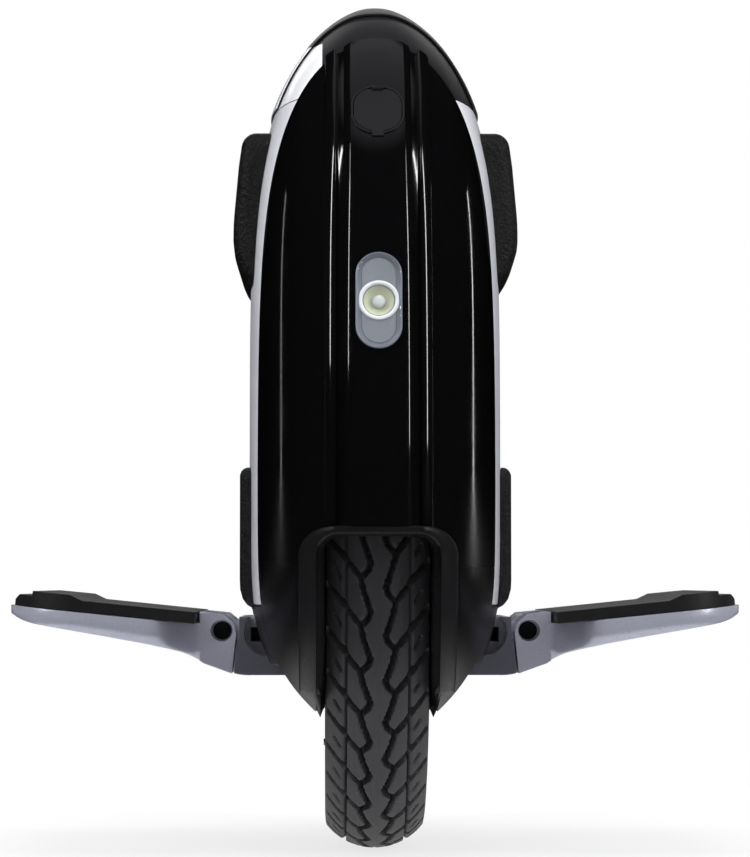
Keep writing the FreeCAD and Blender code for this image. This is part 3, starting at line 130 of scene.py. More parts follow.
def weld(mesh, outward, flat=None, end=None):
    # closes seams and poles; end cuts the mesh along X and caps it; flat merges faces within that angle
    work = bmesh.new()
    work.from_mesh(mesh)
    bmesh.ops.remove_doubles(work, verts=work.verts, dist=0.01 * mm)
    if end is not None:
        cut = bmesh.ops.bisect_plane(
            work, geom=work.verts[:] + work.edges[:] + work.faces[:], clear_outer=True,
            plane_co=(end * mm, 0, 0), plane_no=(math.copysign(1, end), 0, 0))
        rim = [item for item in cut["geom_cut"] if isinstance(item, bmesh.types.BMEdge)]
        bmesh.ops.holes_fill(work, edges=rim)
    if flat is not None:
        bmesh.ops.dissolve_limit(work, angle_limit=math.radians(flat), verts=work.verts,
                                 edges=work.edges)
    if outward:
        bmesh.ops.recalc_face_normals(work, faces=work.faces)
    work.to_mesh(mesh)
    work.free()


def finishPiece(piece, body, material, nodes, sharp):
    bpy.context.scene.collection.objects.link(piece)
    piece.data.materials.clear()
    piece.data.materials.append(material)
    piece.data.shade_smooth()
    piece.data.set_sharp_from_angle(angle=math.radians(sharp))
    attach(piece, body)
    if nodes:
        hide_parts(*nodes)
    return piece


def thicken(piece, wall, roundMm=0.0):  # a wall inwards from the outer face, with eased edges
    solid = piece.modifiers.new("wall", "SOLIDIFY")
    solid.thickness = wall * mm
    solid.offset = -1
    solid.use_even_offset = True
    if roundMm:
        ease(piece, roundMm)


def ease(piece, roundMm, segments=2, angle=40):
    edges = piece.modifiers.new("easedEdges", "BEVEL")
    edges.width = roundMm * mm
    edges.segments = segments
    edges.limit_method = "ANGLE"
    edges.angle_limit = math.radians(angle)
    edges.harden_normals = True


def easedCopy(name, node, slot, material, roundMm, end=None, flat=0.5, angle=35):
    # a rigid CAD solid with its edges rounded; end cuts off what lies further out along X
    mesh = frame["nodes"][node].data.copy()
    mesh.name = name
    weld(mesh, False, flat, end)
    body = frame["nodes"][node]["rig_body"]
    piece = finishPiece(bpy.data.objects.new(name, mesh), body, material, [node], 30)
    ease(piece, roundMm, 3, angle)
    return piece


def objectPlace(tree):  # the point's place on the piece, so that a finish moves with it
    return addNode(tree, "TexCoord").outputs["Object"]


def alongAxis(tree, vector, axis):
    return addNode(tree, "SeparateXYZ", {"Vector": vector}).outputs[axis]


def noise(tree, place, sizeMm, detail, roughness=0.5, output="Fac"):
    return addNode(tree, "TexNoise", {"Vector": place, "Scale": perMetre(sizeMm), "Detail": detail,
                                      "Roughness": roughness}).outputs[output]


def maths(tree, operation, first, second=0.0):
    return addNode(tree, "Math", {0: first, 1: second}, operation=operation).outputs["Value"]


def ramp(tree, value, source, result, **settings):  # the source range carried over to the result range
    sockets = {"Value": value, "From Min": source[0], "From Max": source[1], "To Min": result[0],
               "To Max": result[1]}
    return addNode(tree, "MapRange", sockets, **settings).outputs["Result"]


def blend(tree, factor, first, second):  # two hex colours
    return addNode(tree, "Mix", {"Factor": factor, "A": hexLinear(first), "B": hexLinear(second)},
                   data_type="RGBA").outputs["Result"]


def relief(tree, height, strength, depthMm, **settings):
    return addNode(tree, "Bump", {"Height": height, "Strength": strength, "Distance": depthMm * mm},
                   **settings).outputs["Normal"]


def skin(tree, sockets):  # the Principled shader as the material's surface
    shader = addNode(tree, "BsdfPrincipled", sockets)
    addNode(tree, "OutputMaterial", {"Surface": shader.outputs["BSDF"]})
    return shader


def pianoBlack():
    # ABS from a mirror-polished tool: deep black, hard highlights, wipe marks, road dust low down
    dustFrom, dustTo = 120 * mm, 230 * mm
    material, tree = newMaterial("polishedBlackAbs")
    place = objectPlace(tree)
    gloss = ramp(tree, noise(tree, place, 60, 4.0, 0.6), (0.35, 0.75), (0.045, 0.11))
    dust = ramp(tree, alongAxis(tree, place, "Z"), (dustFrom, dustTo), (0.42, 0.0))
    skin(tree, {"Base Color": hexLinear("070708"), "IOR": 1.38,
                "Roughness": maths(tree, "MAXIMUM", gloss, dust),
                "Normal": relief(tree, noise(tree, place, 7, 1.0), 0.02, 0.4)})
    return material


def whiteShell():  # white ABS from the same tooling: milky, with a soft highlight
    material, tree = newMaterial("glossWhiteAbs")
    place = objectPlace(tree)
    skin(tree, {"Base Color": blend(tree, noise(tree, place, 45, 3.0), "DCDDE6", "E8E9EF"),
                "IOR": 1.5, "Roughness": 0.16,
                "Normal": relief(tree, noise(tree, place, 6, 1.0), 0.02, 0.4)})
    return material


def grainedMaterial(name, dark, light, grainMm, depth, roughness, spread=0.12, specular=0.5):
    # a moulded or cast skin: fine grain in gloss and relief, a slow drift in colour;
    # grain under a pixel is drawn at about one pixel
    material, tree = newMaterial(name)
    place = objectPlace(tree)
    grain = noise(tree, place, grainMm, 3.0, 0.55)
    shader = skin(tree, {
        "Base Color": blend(tree, noise(tree, place, 38, 2.0), dark, light),
        "Roughness": ramp(tree, grain, (0.3, 0.7), (roughness - spread, roughness + spread)),
        "Specular IOR Level": specular, "Normal": relief(tree, grain, depth, 0.3)})
    return material, shader


def foamSkin():  # EVA foam with a pressed pebble skin: dull black, with painted highlight on the pebble tops and painted shade in the hollows between them
    material, tree = newMaterial("pebbledEvaFoam")
    place = objectPlace(tree)
    warp = noise(tree, place, 3.0, 2.0, output="Color")
    shift = addNode(tree, "VectorMath", {0: warp, "Scale": 1.2 * mm}, operation="SCALE").outputs["Vector"]
    moved = addNode(tree, "VectorMath", {0: place, 1: shift}, operation="ADD").outputs["Vector"]
    pebble = addNode(tree, "TexVoronoi", {"Vector": moved, "Scale": perMetre(1.7)},
                     feature="SMOOTH_F1").outputs["Distance"]
    height = maths(tree, "ADD", pebble, noise(tree, place, 0.8, 2.0))
    # painted highlight and shade: the base colour is lighter on the raised pebble tops and darker in the
    # hollows between them
    tint = ramp(tree, pebble, (0.1, 0.6), (0.0, 1.0))
    skin(tree, {"Base Color": blend(tree, tint, "131315", "060607"), "Roughness": 0.5,
                "Specular IOR Level": 0.4, "Normal": relief(tree, height, 0.75, 0.8, invert=True)})
    return material


def clearMoulding(name, tint, roughness=0.02):  # polycarbonate that also lets the lamps' light in
    material, tree = newMaterial(name)
    ripple = noise(tree, objectPlace(tree), 9, 1.0)
    shader = addNode(tree, "BsdfPrincipled", {
        "Base Color": hexLinear(tint), "Roughness": roughness, "IOR": 1.49, "Transmission Weight": 1.0,
        "Normal": relief(tree, ripple, 0.02, 0.3)})
    through = addNode(tree, "BsdfTransparent", {"Color": hexLinear(tint)})
    rays = addNode(tree, "LightPath")
    mixed = addNode(tree, "MixShader", {"Fac": rays.outputs["Is Shadow Ray"], 1: shader.outputs["BSDF"],
                                        2: through.outputs["BSDF"]})
    addNode(tree, "OutputMaterial", {"Surface": mixed.outputs["Shader"]})
    return material


def twoTone(top, side, facing):
    # moulded black over white: left of side, under top and facing left, the flank is white
    material, tree = newMaterial("blackAndWhiteAbs")
    place = objectPlace(tree)
    left = maths(tree, "LESS_THAN", alongAxis(tree, place, "X"), side * mm)
    low = maths(tree, "LESS_THAN", alongAxis(tree, place, "Z"), top * mm)
    normal = addNode(tree, "NewGeometry").outputs["Normal"]
    outer = maths(tree, "LESS_THAN", alongAxis(tree, normal, "X"), facing)
    white = maths(tree, "MULTIPLY", maths(tree, "MULTIPLY", left, low), outer)
    depth = ramp(tree, white, (0.0, 1.0), (0.2, 0.0))
    skin(tree, {"Base Color": blend(tree, white, "161619", "E9EAEE"),
                "Roughness": ramp(tree, white, (0.0, 1.0), (0.48, 0.16)), "Specular IOR Level": 0.35,
                "Normal": relief(tree, noise(tree, place, 0.9, 3.0), depth, 0.3)})
    return material


def shadedAndLitCasting(name, dark, paintedLight, face, recess):
    # one grey alloy painted as shaded and lit copies: painted shade keeps its outer faces along Y dark, and
    # painted light makes it pale where it lies nearer the middle along Y, in the recess
    material, shader = grainedMaterial(name, dark, dark, 0.9, 0.08, 0.34, 0.06)
    tree = material.node_tree
    reach = maths(tree, "ABSOLUTE", alongAxis(tree, objectPlace(tree), "Y"))
    share = ramp(tree, reach, (face * mm, recess * mm), (0.0, 1.0))
    # painted light and shade: the colour runs from dark on the outer faces to pale in the recess
    tree.links.new(blend(tree, share, dark, paintedLight), shader.inputs["Base Color"])
    shader.inputs["Metallic"].default_value = 0.3
    return material


blackGloss = pianoBlack()
whiteGloss = whiteShell()
foam = foamSkin()
mattBlack, _ = grainedMaterial("spark-etchedBlackAbs", "1B1B1D", "222225", 0.9, 0.22, 0.5)
trimBlack, _ = grainedMaterial("satinBlackAbs", "101012", "151518", 1.0, 0.1, 0.46, specular=0.28)
tyreRubber, _ = grainedMaterial("tyreRubber", "232326", "2C2C30", 0.8, 0.18, 0.56)
gripRubber, _ = grainedMaterial("mouldedRubber", "151517", "1C1C1F", 0.9, 0.2, 0.52, specular=0.4)
blackPlastic, _ = grainedMaterial("blackNylon", "101012", "161618", 0.9, 0.1, 0.42, specular=0.35)
wrapFilm, _ = grainedMaterial("shrinkWrapFilm", "1D3F8C", "2A52A8", 3.0, 0.05, 0.35)
# the hanger is painted dark as shade on its outer faces and pale as painted light in its recess
hangerAlloy = shadedAndLitCasting("greyDiecastingPaintedShadeAndLight", "5A5C66", "D4D5DE", 61.5, 60.0)
bracketSteel, _ = grainedMaterial("brownedSteel", "3A2C25", "5B463A", 0.9, 0.05, 0.5, 0.06)
motorAlloy, _ = grainedMaterial("paintedMotorCover", "1A1A1C", "232326", 0.9, 0.1, 0.42)
pinSteel, _ = grainedMaterial("blackenedSteel", "0A0A0B", "101012", 0.9, 0.05, 0.5, 0.06)
whiteRing, _ = grainedMaterial("whiteNylon", "D3D4DB", "DCDDE3", 1.2, 0.02, 0.4, 0.05)
reflectorCoat, _ = grainedMaterial("satinReflectorCoat", "B9BAA2", "C6C7B0", 1.4, 0.04, 0.36, 0.05)
metals = {}
for label, metal, *finish in (
    ("cast", 0.35, "paintedDiecasting", "A6A7B8", "B2B3C2", 0.9, 0.06, 0.32, 0.06),
    ("steel", 1.0, "turnedSteel", "8D8E92", "A2A3A8", 0.9, 0.05, 0.3, 0.06),
    ("copper", 1.0, "enamelledCopper", "9A5224", "B8662F", 1.0, 0.1, 0.32, 0.06),
    ("brass", 1.0, "turnedBrass", "B08A3E", "C39C4C", 1.0, 0.05, 0.3, 0.06),
    ("silver", 0.35, "silverPaintedAbs", "717581", "80848F", 0.9, 0.03, 0.34, 0.05),
):
    metals[label], shader = grainedMaterial(*finish)
    shader.inputs["Metallic"].default_value = metal
castAlloy, silverPaint = metals["cast"], metals["silver"]
clearPlastic = clearMoulding("clearPolycarbonate", "F4F6F4")
redPlastic = clearMoulding("redPolycarbonate", "B5161A", 0.08)
ledDome, ledShader = grainedMaterial("ledResin", "C4C6CC", "E2E3E8", 2.4, 0.05, 0.14, 0.05)
ledShader.inputs["Transmission Weight"].default_value = 0.25
slotFinish = {
    "gloss_shell": blackGloss, "white_shell": whiteGloss, "matte_shell": mattBlack, "foam": foam,
    "tyre": tyreRubber, "rubber": gripRubber, "cast_alloy": castAlloy, "steel": metals["steel"],
    "copper": metals["copper"], "valve_brass": metals["brass"], "silver_trim": silverPaint,
    "clear_lens": clearPlastic, "red_lens": redPlastic, "black_plastic": blackPlastic,
    "battery_wrap": wrapFilm,
}
handleSkin = twoTone(446.5, -29.5, -0.15)
nodeFinish = {"motor_cover_left": motorAlloy, "motor_cover_right": motorAlloy, "wheel_rim": motorAlloy,
              "pedal_pin_left": pinSteel, "pedal_pin_right": pinSteel}
for entry in frame["record"]["subparts"]:
    node = frame["nodes"][entry["node"]]
    node.data.materials.clear()
    node.data.materials.append(nodeFinish.get(entry["node"], slotFinish[entry["material_slot"]]))
print("finishes made")


# the body's form is a superellipse in plan, whose half-length and half-width follow the height
form = {
    "halfLength": 200.0, "halfWidth": 70.55, "waist": 205.0, "crown": 475.0, "drop": 195.0, "axle": 178.0,
    "footDrop": 97.0, "planPower": 2.5, "sidePower": 2.2, "frontPower": 4.8, "frontRoot": 1.6,
    "tuckPower": 3.6, "tuckShare": 0.44,
}


def formLength(z, grow):  # half-length: a superellipse over the height, fuller above the waist
    rise = form["crown"] - form["waist"] + grow
    over = z - form["waist"]
    share = np.where(over > 0, over / rise, -over / (form["drop"] + grow))
    power = form["sidePower"]
    return (form["halfLength"] + grow) * (1 - np.clip(share, 0, 1) ** power) ** (1 / power)


def formWidth(z, grow):  # half-width: a bullet above the waist, a tuck towards the foot
    share = np.clip((z - form["waist"]) / (form["crown"] - form["waist"] + grow), 0, 1)
    above = (form["halfWidth"] + grow) * (1 - share ** form["frontPower"]) ** (1 / form["frontRoot"])
    tuck = (np.clip(form["axle"] - z, 0, None) / form["footDrop"]) ** form["tuckPower"]
    below = form["halfWidth"] * (1 - form["tuckShare"] * tuck) + grow
    return np.where(z > form["waist"], above, below)


def formDepth(x, z, grow=0.0):  # how far the form reaches along Y at x and z
    share = np.clip(np.abs(x) / np.maximum(formWidth(z, grow), 0.01), 0, 1)
    return formLength(z, grow) * (1 - share ** form["planPower"]) ** (1 / form["planPower"])


def formSide(y, z, grow=0.0):  # how far the form reaches along X at y and z
    share = np.clip(np.abs(y) / np.maximum(formLength(z, grow), 0.01), 0, 1)
    return formWidth(z, grow) * (1 - share ** form["planPower"]) ** (1 / form["planPower"])


def heightAt(x, grow, reach):  # the height over the waist at which the form's depth falls to reach
    low = np.full(np.shape(x), form["waist"])
    high = np.full(np.shape(x), form["crown"] + np.max(grow))
    for _ in range(50):  # halvings
        middle = (low + high) / 2
        outside = formDepth(x, middle, grow) > reach
        low, high = np.where(outside, middle, low), np.where(outside, high, middle)
    return (low + high) / 2


def onFront(x, z, grow):  # points of the front face
    return np.stack([x + 0 * z, -formDepth(x, z, grow), z + 0 * x], axis=-1)


covers = {
    "seam": 107.0, "foot": 81.0, "wall": 3.2, "archHalf": 32.5, "archTop": 175.8, "archCorner": 12.0,
    "shoulder": 392.0,
    # (mm from the middle, rise of the ridge)
    "ridge": [(0, 0), (5, 0), (10, 0), (14, 0), (17, 0), (19, 0), (20.5, 0), (21.4, 0), (21.9, 0.1),
              (22.05, 1.5), (22.3, 2.1), (22.7, 2.4), (23.3, 2.5), (25, 2.55), (26.7, 2.5), (27.3, 2.4),
              (27.7, 2.1), (27.95, 1.5), (28.1, 0.1), (28.6, 0), (29.4, 0), (30.9, 0), (32.5, 0)],
    "ridgeFade": 26,
    "lowerRows": 22, "upperRows": 92, "outerColumns": 26, "crownSteps": 400,
    "wayHalf": 11.0, "ways": [(295.3, 23.0), (400.3, 12.0)],  # lamp and port pass through under the panel
}


def coverHalf(c):
    # inside the arch's width each column keeps its x, from the arch to the seam; outside it the patch is
    # blended between its four edges: the arch's leg, the foot, the seam's side and the seam's crown
    x, rise = np.array(c["ridge"], float).T
    corner = np.clip(x - (c["archHalf"] - c["archCorner"]), 0, None)
    springing = c["archTop"] - c["archCorner"]
    low = springing + np.sqrt(np.clip(c["archCorner"] ** 2 - corner ** 2, 0, None))
    high = heightAt(x, rise, c["seam"])
    share = np.linspace(0, 1, c["upperRows"] + 1)[:, None]
    fade = np.clip(share * c["ridgeFade"], 0, 1) ** 0.5  # the ridges die out just over the arch
    inner = onFront(x, low + share * (high - low), rise * fade)

    foot = c["foot"]
    leftZ = np.concatenate([np.linspace(foot, springing, c["lowerRows"] + 1)[:-1], inner[:, -1, 2]])
    rows = ((leftZ - foot) / (leftZ[-1] - foot))[:, None]
    rightZ = foot + rows * (c["shoulder"] - foot)
    rightX = formSide(c["seam"], rightZ)
    cols = np.linspace(0, 1, c["outerColumns"] + 1)[None, :]
    crownZ = np.linspace(leftZ[-1], c["shoulder"], c["crownSteps"])
    crownX = formSide(c["seam"], crownZ)
    run = np.concatenate([[0], np.cumsum(np.hypot(np.diff(crownX), np.diff(crownZ)))])
    topX, topZ = (np.interp(cols * run[-1], run, edge) for edge in (crownX, crownZ))
    a, b = c["archHalf"], rightX[0]
    patch = []
    for left, right, bottom, top in (
        (a, rightX, a + cols * (b - a), topX),
        (leftZ[:, None], rightZ, foot + 0 * cols, topZ),
    ):
        ends = ((1 - rows) * (1 - cols) * bottom[0, 0] + (1 - rows) * cols * bottom[0, -1]
                + rows * (1 - cols) * top[0, 0] + rows * cols * top[0, -1])
        patch.append((1 - cols) * left + cols * right + (1 - rows) * bottom + rows * top - ends)
    points, quads = grid(inner)
    middle = points[quads].mean(axis=1)
    through = np.zeros(len(quads), bool)
    for height, reach in c["ways"]:
        through |= (middle[:, 0] < c["wayHalf"]) & (np.abs(middle[:, 2] - height) < reach)
    return [(points, quads[~through]), grid(onFront(patch[0], patch[1], 0.0))]


right = coverHalf(covers)
front = right + mirrored(right, 0)
for name, node, shape in (("frontCover", "front_cover", front),
                          ("rearCover", "rear_cover", mirrored(front, 1))):
    piece = makePiece(name, shape, "chassis", blackGloss, [node], 50)
    thicken(piece, covers["wall"], 0.5)
print("covers made")


panel = {
    "flatHalf": 14.4, "flatRise": 2.4,
    "edge": [(14.4, 2.4), (14.55, 2.15), (14.8, 2.12), (17.2, 1.55), (17.75, 1.1), (17.95, 0.4)],
    "low": 178.7, "overhang": 106.5, "wall": 1.9, "margin": 5.0, "plainRows": 26, "sideSteps": 9,
}


def placeOnPanel(height, half):  # a frame square to the panel's middle line
    grow, step = panel["flatRise"], 0.1
    lower, upper = formLength(np.array([height - step, height + step]), grow)
    tilt = math.atan((lower - upper) / (2 * step))
    return {"centre": (0.0, -float(formLength(np.array(height), grow)), height),
            "out": (0.0, -math.cos(tilt), math.sin(tilt)), "half": half}


lampPlace = placeOnPanel(295.3, (12.0, 25.75))
portPlace = placeOnPanel(400.3, (14.2, 17.5))
buttonPlace = placeOnPanel(400.3, (12.1, 12.1))


def inPlace(place, across, up, out):  # local (across, up the panel, outwards) to the body's frame
    normal = np.array(place["out"])
    upward = np.array([0.0, normal[2], -normal[1]])
    return (np.array(place["centre"]) + np.asarray(across)[..., None] * np.array([1.0, 0, 0])
            + np.asarray(up)[..., None] * upward + np.asarray(out)[..., None] * normal)


def pillLoop(halfWidth, halfHeight, arc, side):
    # a round-ended outline, anticlockwise from the right side's foot
    straight = halfHeight - halfWidth
    turn = np.linspace(0, math.pi, arc)
    cosine, sine = halfWidth * np.cos(turn)[1:-1], halfWidth * np.sin(turn)[1:-1]
    across = np.concatenate([np.full(side, halfWidth), cosine, np.full(side, -halfWidth), -cosine])
    rise = np.linspace(-straight, straight, side)
    return across, np.concatenate([rise, straight + sine, -rise, -straight - sine])


def pillRings(place, profile, arc=33, side=9):  # a profile of (inset, out) carried round the outline
    halfWidth, halfHeight = place["half"]
    rings = []
    for inset, out in profile:
        across, up = pillLoop(halfWidth - inset, halfHeight - inset, arc, side)
        rings.append(inPlace(place, across, up, np.full(across.shape, out)))
    return np.stack(rings)


def pierced(place, gap, p):
    # the flat face round one place: from its outline to a rectangle whose edges match the plain stretches
    halfWidth, halfHeight = (size + gap for size in place["half"])
    straight = halfHeight - halfWidth
    tall = halfHeight + p["margin"]
    corner = math.atan2(tall - straight, p["flatHalf"])
    steps = p["sideSteps"]
    turn = np.concatenate([np.linspace(0, corner, steps),
                           np.linspace(corner, math.pi - corner, len(p["columns"]))[1:-1],
                           np.linspace(math.pi - corner, math.pi, steps)])
    rise = np.linspace(0, tall - straight, steps)
    middle = p["columns"][1:-1][::-1]
    outerX = np.concatenate([np.full(steps, p["flatHalf"]), middle, np.full(steps, -p["flatHalf"])])
    outerUp = straight + np.concatenate([rise, np.full(len(middle), tall - straight), rise[::-1]])
    side = np.linspace(-straight, straight, steps)[1:-1]
    loops = []
    for topX, topUp, half in ((halfWidth * np.cos(turn), straight + halfWidth * np.sin(turn), halfWidth),
                              (outerX, outerUp, p["flatHalf"])):
        across = np.concatenate([topX, np.full(len(side), -half), -topX, np.full(len(side), half)])
        up = np.concatenate([topUp, -side, -topUp, side])
        loops.append((across, up))
    share = np.linspace(0, 1, 5)[:, None]
    across = loops[0][0] + share * (loops[1][0] - loops[0][0])
    up = loops[0][1] + share * (loops[1][1] - loops[0][1])
    z = place["centre"][2] - up * place["out"][1]
    return across, z


def panelSurfaces(places, p):
    surfaces = []
    edges = [p["low"]]
    edgeX, edgeRise = np.array(p["edge"]).T
    for place, gap in places:
        x, z = pierced(place, gap, p)
        surfaces.append(grid(onFront(x, z, p["flatRise"]), wrapCols=True, flip=True))
        edges += [z[-1].min(), z[-1].max()]
        rows = np.unique(np.round(z[-1][np.abs(x[-1] - p["flatHalf"]) < 1e-6], 6))[:, None]
        surfaces.append(grid(onFront(edgeX, rows, edgeRise)))
        surfaces.append(grid(onFront(-edgeX[::-1], rows, edgeRise[::-1])))
    edges.append(float(heightAt(0.0, p["flatRise"], p["overhang"])))
    for step in range(0, len(edges), 2):  # plain stretches between the places
        share = np.linspace(0, 1, p["plainRows"])[:, None]
        last = step + 2 == len(edges)
        for xs, rises in ((p["columns"], p["flatRise"]), (edgeX, edgeRise),
                          (-edgeX[::-1], edgeRise[::-1])):
            tops = heightAt(xs, rises, p["overhang"]) if last else edges[step + 1] + 0 * xs
            surfaces.append(grid(onFront(xs, edges[step] + share * (tops - edges[step]), rises)))
    return surfaces


panel["columns"] = np.linspace(-panel["flatHalf"], panel["flatHalf"], 17)
strip = panelSurfaces([(lampPlace, 0.1), (portPlace, 0.2)], panel)
rearStrip = mirrored(panelSurfaces([(lampPlace, 0.1), (buttonPlace, 0.2)], panel), 1)
for name, node, shape in (("frontPanel", "front_panel", strip),
                          ("rearPanel", "rear_panel", rearStrip)):
    piece = makePiece(name, shape, "chassis", blackGloss, [node], 50)
    thicken(piece, panel["wall"], 0.25)
print("panels made")


trim = {
    "width": 8.0, "crownWidth": 2.4, "wall": 0.9, "legRows": 30, "crownColumns": 41,
    # (outwards from the arch, out of the face, height of the foot): a deep inner wall, then the lip
    "profile": [(-3.7, -15.0, 82.0), (-3.7, -9.0, 82.0), (-2.6, -4.0, 82.0), (-0.3, -0.6, 82.0),
                (0.0, 0.2, 91.0), (0.0, 0.7, 91.0), (0.3, 1.3, 91.0), (0.9, 1.6, 91.0), (7.1, 1.6, 91.0),
                (7.7, 1.3, 91.0), (8.0, 0.7, 91.0), (8.0, 0.1, 91.0)],
}


def archLip(t, c):
    # the profile follows leg, corner, crown, corner and leg; the lip narrows round the corners to run
    # under the panel
    springing, corner = c["archTop"] - c["archCorner"], c["archCorner"]
    flat = c["archHalf"] - corner
    turn = np.linspace(0, math.pi / 2, 15)[1:-1]
    crown = np.linspace(flat, -flat, t["crownColumns"])
    offset, rise, foot = np.array(t["profile"]).T[:, :, None]
    legs = np.linspace(foot, springing + 0 * foot, t["legRows"], axis=1)[:, :, 0]
    zero, one = np.zeros(t["legRows"]), np.ones(t["legRows"])
    baseX = np.concatenate([flat * one, flat + 0 * turn, crown, -flat + 0 * turn, -flat * one])
    over = springing + np.zeros((len(foot), len(crown) + 2 * len(turn)))
    baseZ = np.concatenate([legs, over, legs[:, ::-1]], axis=1)
    alongX = np.concatenate([one, np.cos(turn), 0 * crown, -np.cos(turn[::-1]), -one])
    alongZ = np.concatenate([zero, np.sin(turn), 1 + 0 * crown, np.sin(turn[::-1]), zero])
    thin = t["crownWidth"] / t["width"]
    share = turn / (math.pi / 2)
    narrow = 1 - (1 - thin) * share ** 2 * (3 - 2 * share)
    widths = np.concatenate([one, narrow, thin + 0 * crown, narrow[::-1], one])
    reach = corner + offset * widths
    return grid(onFront(baseX + reach * alongX, baseZ + reach * alongZ, rise))


lip = [archLip(trim, covers)]
for name, node, shape in (("archLipFront", "arch_trim_front", lip),
                          ("archLipRear", "arch_trim_rear", mirrored(lip, 1))):
    piece = makePiece(name, shape, "chassis", trimBlack, [node], 60)
    thicken(piece, trim["wall"])
print("arch lips made")


sides = {"reach": 106.65, "low": 138.0, "high": 411.7, "wall": 3.2, "columns": 71, "rows": 96}
y = np.linspace(-sides["reach"], sides["reach"], sides["columns"])[None, :]
z = np.linspace(sides["low"], sides["high"], sides["rows"])[:, None]
flank = [grid(np.stack([formSide(y, z), y + 0 * z, z + 0 * y], axis=-1))]
for name, node, shape in (("sideShellRight", "side_shell_right", flank),
                          ("sideShellLeft", "side_shell_left", mirrored(flank, 0))):
    piece = makePiece(name, shape, "chassis", whiteGloss, [node], 50)
    thicken(piece, sides["wall"], 0.6)
print("side shells made")


upperPad = {"low": 313.5, "high": 398.5, "half": 75.8, "corner": 9.0, "edge": 7.0, "crown": 0.8,
            "face": [(313, 72.6), (332, 78.6), (339, 79.3), (350, 79.0), (380, 76.3), (399, 73.6)]}
lowerPad = {"low": 135.2, "high": 213.4, "half": 71.8, "corner": 6.0, "edge": 3.2, "crown": 0.3,
            "face": [(135, 67.6), (137.5, 70.8), (141, 73.3), (145.5, 74.7), (150, 75.0), (209, 75.0),
                     (214, 73.6)]}


def roundedLoop(halfY, halfZ, corner, arc=9, side=14):  # a rectangle with round corners
    turn = np.linspace(0, math.pi / 2, arc)
    alongY, alongZ = halfY - corner, halfZ - corner
    rise = np.linspace(-alongZ, alongZ, side)[1:-1]
    reach = np.linspace(alongY, -alongY, side)[1:-1]
    sine, cosine = corner * np.sin(turn), corner * np.cos(turn)
    y = np.concatenate([np.full(side - 2, halfY), alongY + cosine, reach, -alongY - sine,
                        np.full(side - 2, -halfY), -alongY - cosine, -reach, alongY + sine])
    z = np.concatenate([rise, alongZ + sine, np.full(side - 2, halfZ), alongZ + cosine,
                        -rise, -alongZ - sine, np.full(side - 2, -halfZ), -alongZ - cosine])
    return y, z


def padShape(p):
    # rings from the wall at the shell over a round edge to the middle of the face; the back follows
    # the shell
    half, middle = (p["high"] - p["low"]) / 2, (p["high"] + p["low"]) / 2
    steps = 8
    turn = np.linspace(0, math.pi / 2, steps)
    inset, drops = p["edge"] * (1 - np.cos(turn)), list(p["edge"] * (1 - np.sin(turn)))
    rings = [roundedLoop(p["half"] - step, half - step, max(p["corner"] - step, 0.5)) for step in inset]
    for share in np.linspace(1, 0, 16)[1:]:
        rings.append(tuple(edge * share for edge in rings[steps - 1]))
        drops.append(0.0)
    y = np.stack([ring[0] for ring in rings])
    z = middle + np.stack([ring[1] for ring in rings])
    faceZ, faceX = np.array(p["face"]).T
    outer = np.interp(z, faceZ, faceX) - p["crown"] * (y / p["half"]) ** 2 - np.array(drops)[:, None]
    base = formSide(y, z, 0.3)
    share = np.linspace(0, 1, 5)[:, None]
    wall = np.stack([base[0] + share * (outer[0] - base[0]), y[0] + 0 * share, z[0] + 0 * share], axis=-1)
    face = np.stack([outer, y, z], axis=-1)
    back = np.stack([base, y, z], axis=-1)
    return [grid(wall, wrapCols=True), grid(face, wrapCols=True), grid(back, wrapCols=True, flip=True)]


for label, node, sizes in (("upperPad", "upper_pad", upperPad), ("lowerPad", "lower_pad", lowerPad)):
    shape = padShape(sizes)
    for side, surfaces in (("Right", shape), ("Left", mirrored(shape, 0))):
        piece = makePiece(label + side, surfaces, "chassis", foam,
                          [f"{node}_{side.lower()}"], 60, True)
print("pads made")


tyre = {
    "radius": 178.0, "axle": 178.0, "treadHalf": 27.0, "treadDrop": 13.0, "pitches": 43, "samples": 24,
    "wall": [(27.5, 15.5), (27.75, 19.5), (27.75, 25.0), (27.3, 31.0), (26.0, 37.0), (23.6, 43.0),
             (20.6, 48.6), (19.75, 51.0)],
    "inside": [(13.2, 51.0), (14.5, 45.0), (21.0, 36.0), (22.7, 27.0), (21.0, 19.0), (14.0, 15.0),
               (5.0, 14.0)],
    "columns": 61, "shoulder": 1.2,
    "edge": 0.45,
    # grooves on one half, as (pitch, mm from the middle) from point to point, with width and depth in mm
    "grooves": [
        ([(0.0, 9.4), (0.3, 7.6), (0.69, 4.0), (0.83, 5.4), (1.0, 9.4)], 2.3, 5.5),
        ([(-0.80, 30.0), (-0.48, 19.6), (0.0, 9.4)], 2.3, 5.0),
        ([(-1.0, 17.7), (2.0, 17.7)], 1.5, 3.4),
        ([(-0.17, 24.8), (0.02, 21.2)], 1.3, 2.6),
    ],
    "seamLines": [(0.0, 0.5, 0.35), (11.5, 0.4, 0.25)],
}


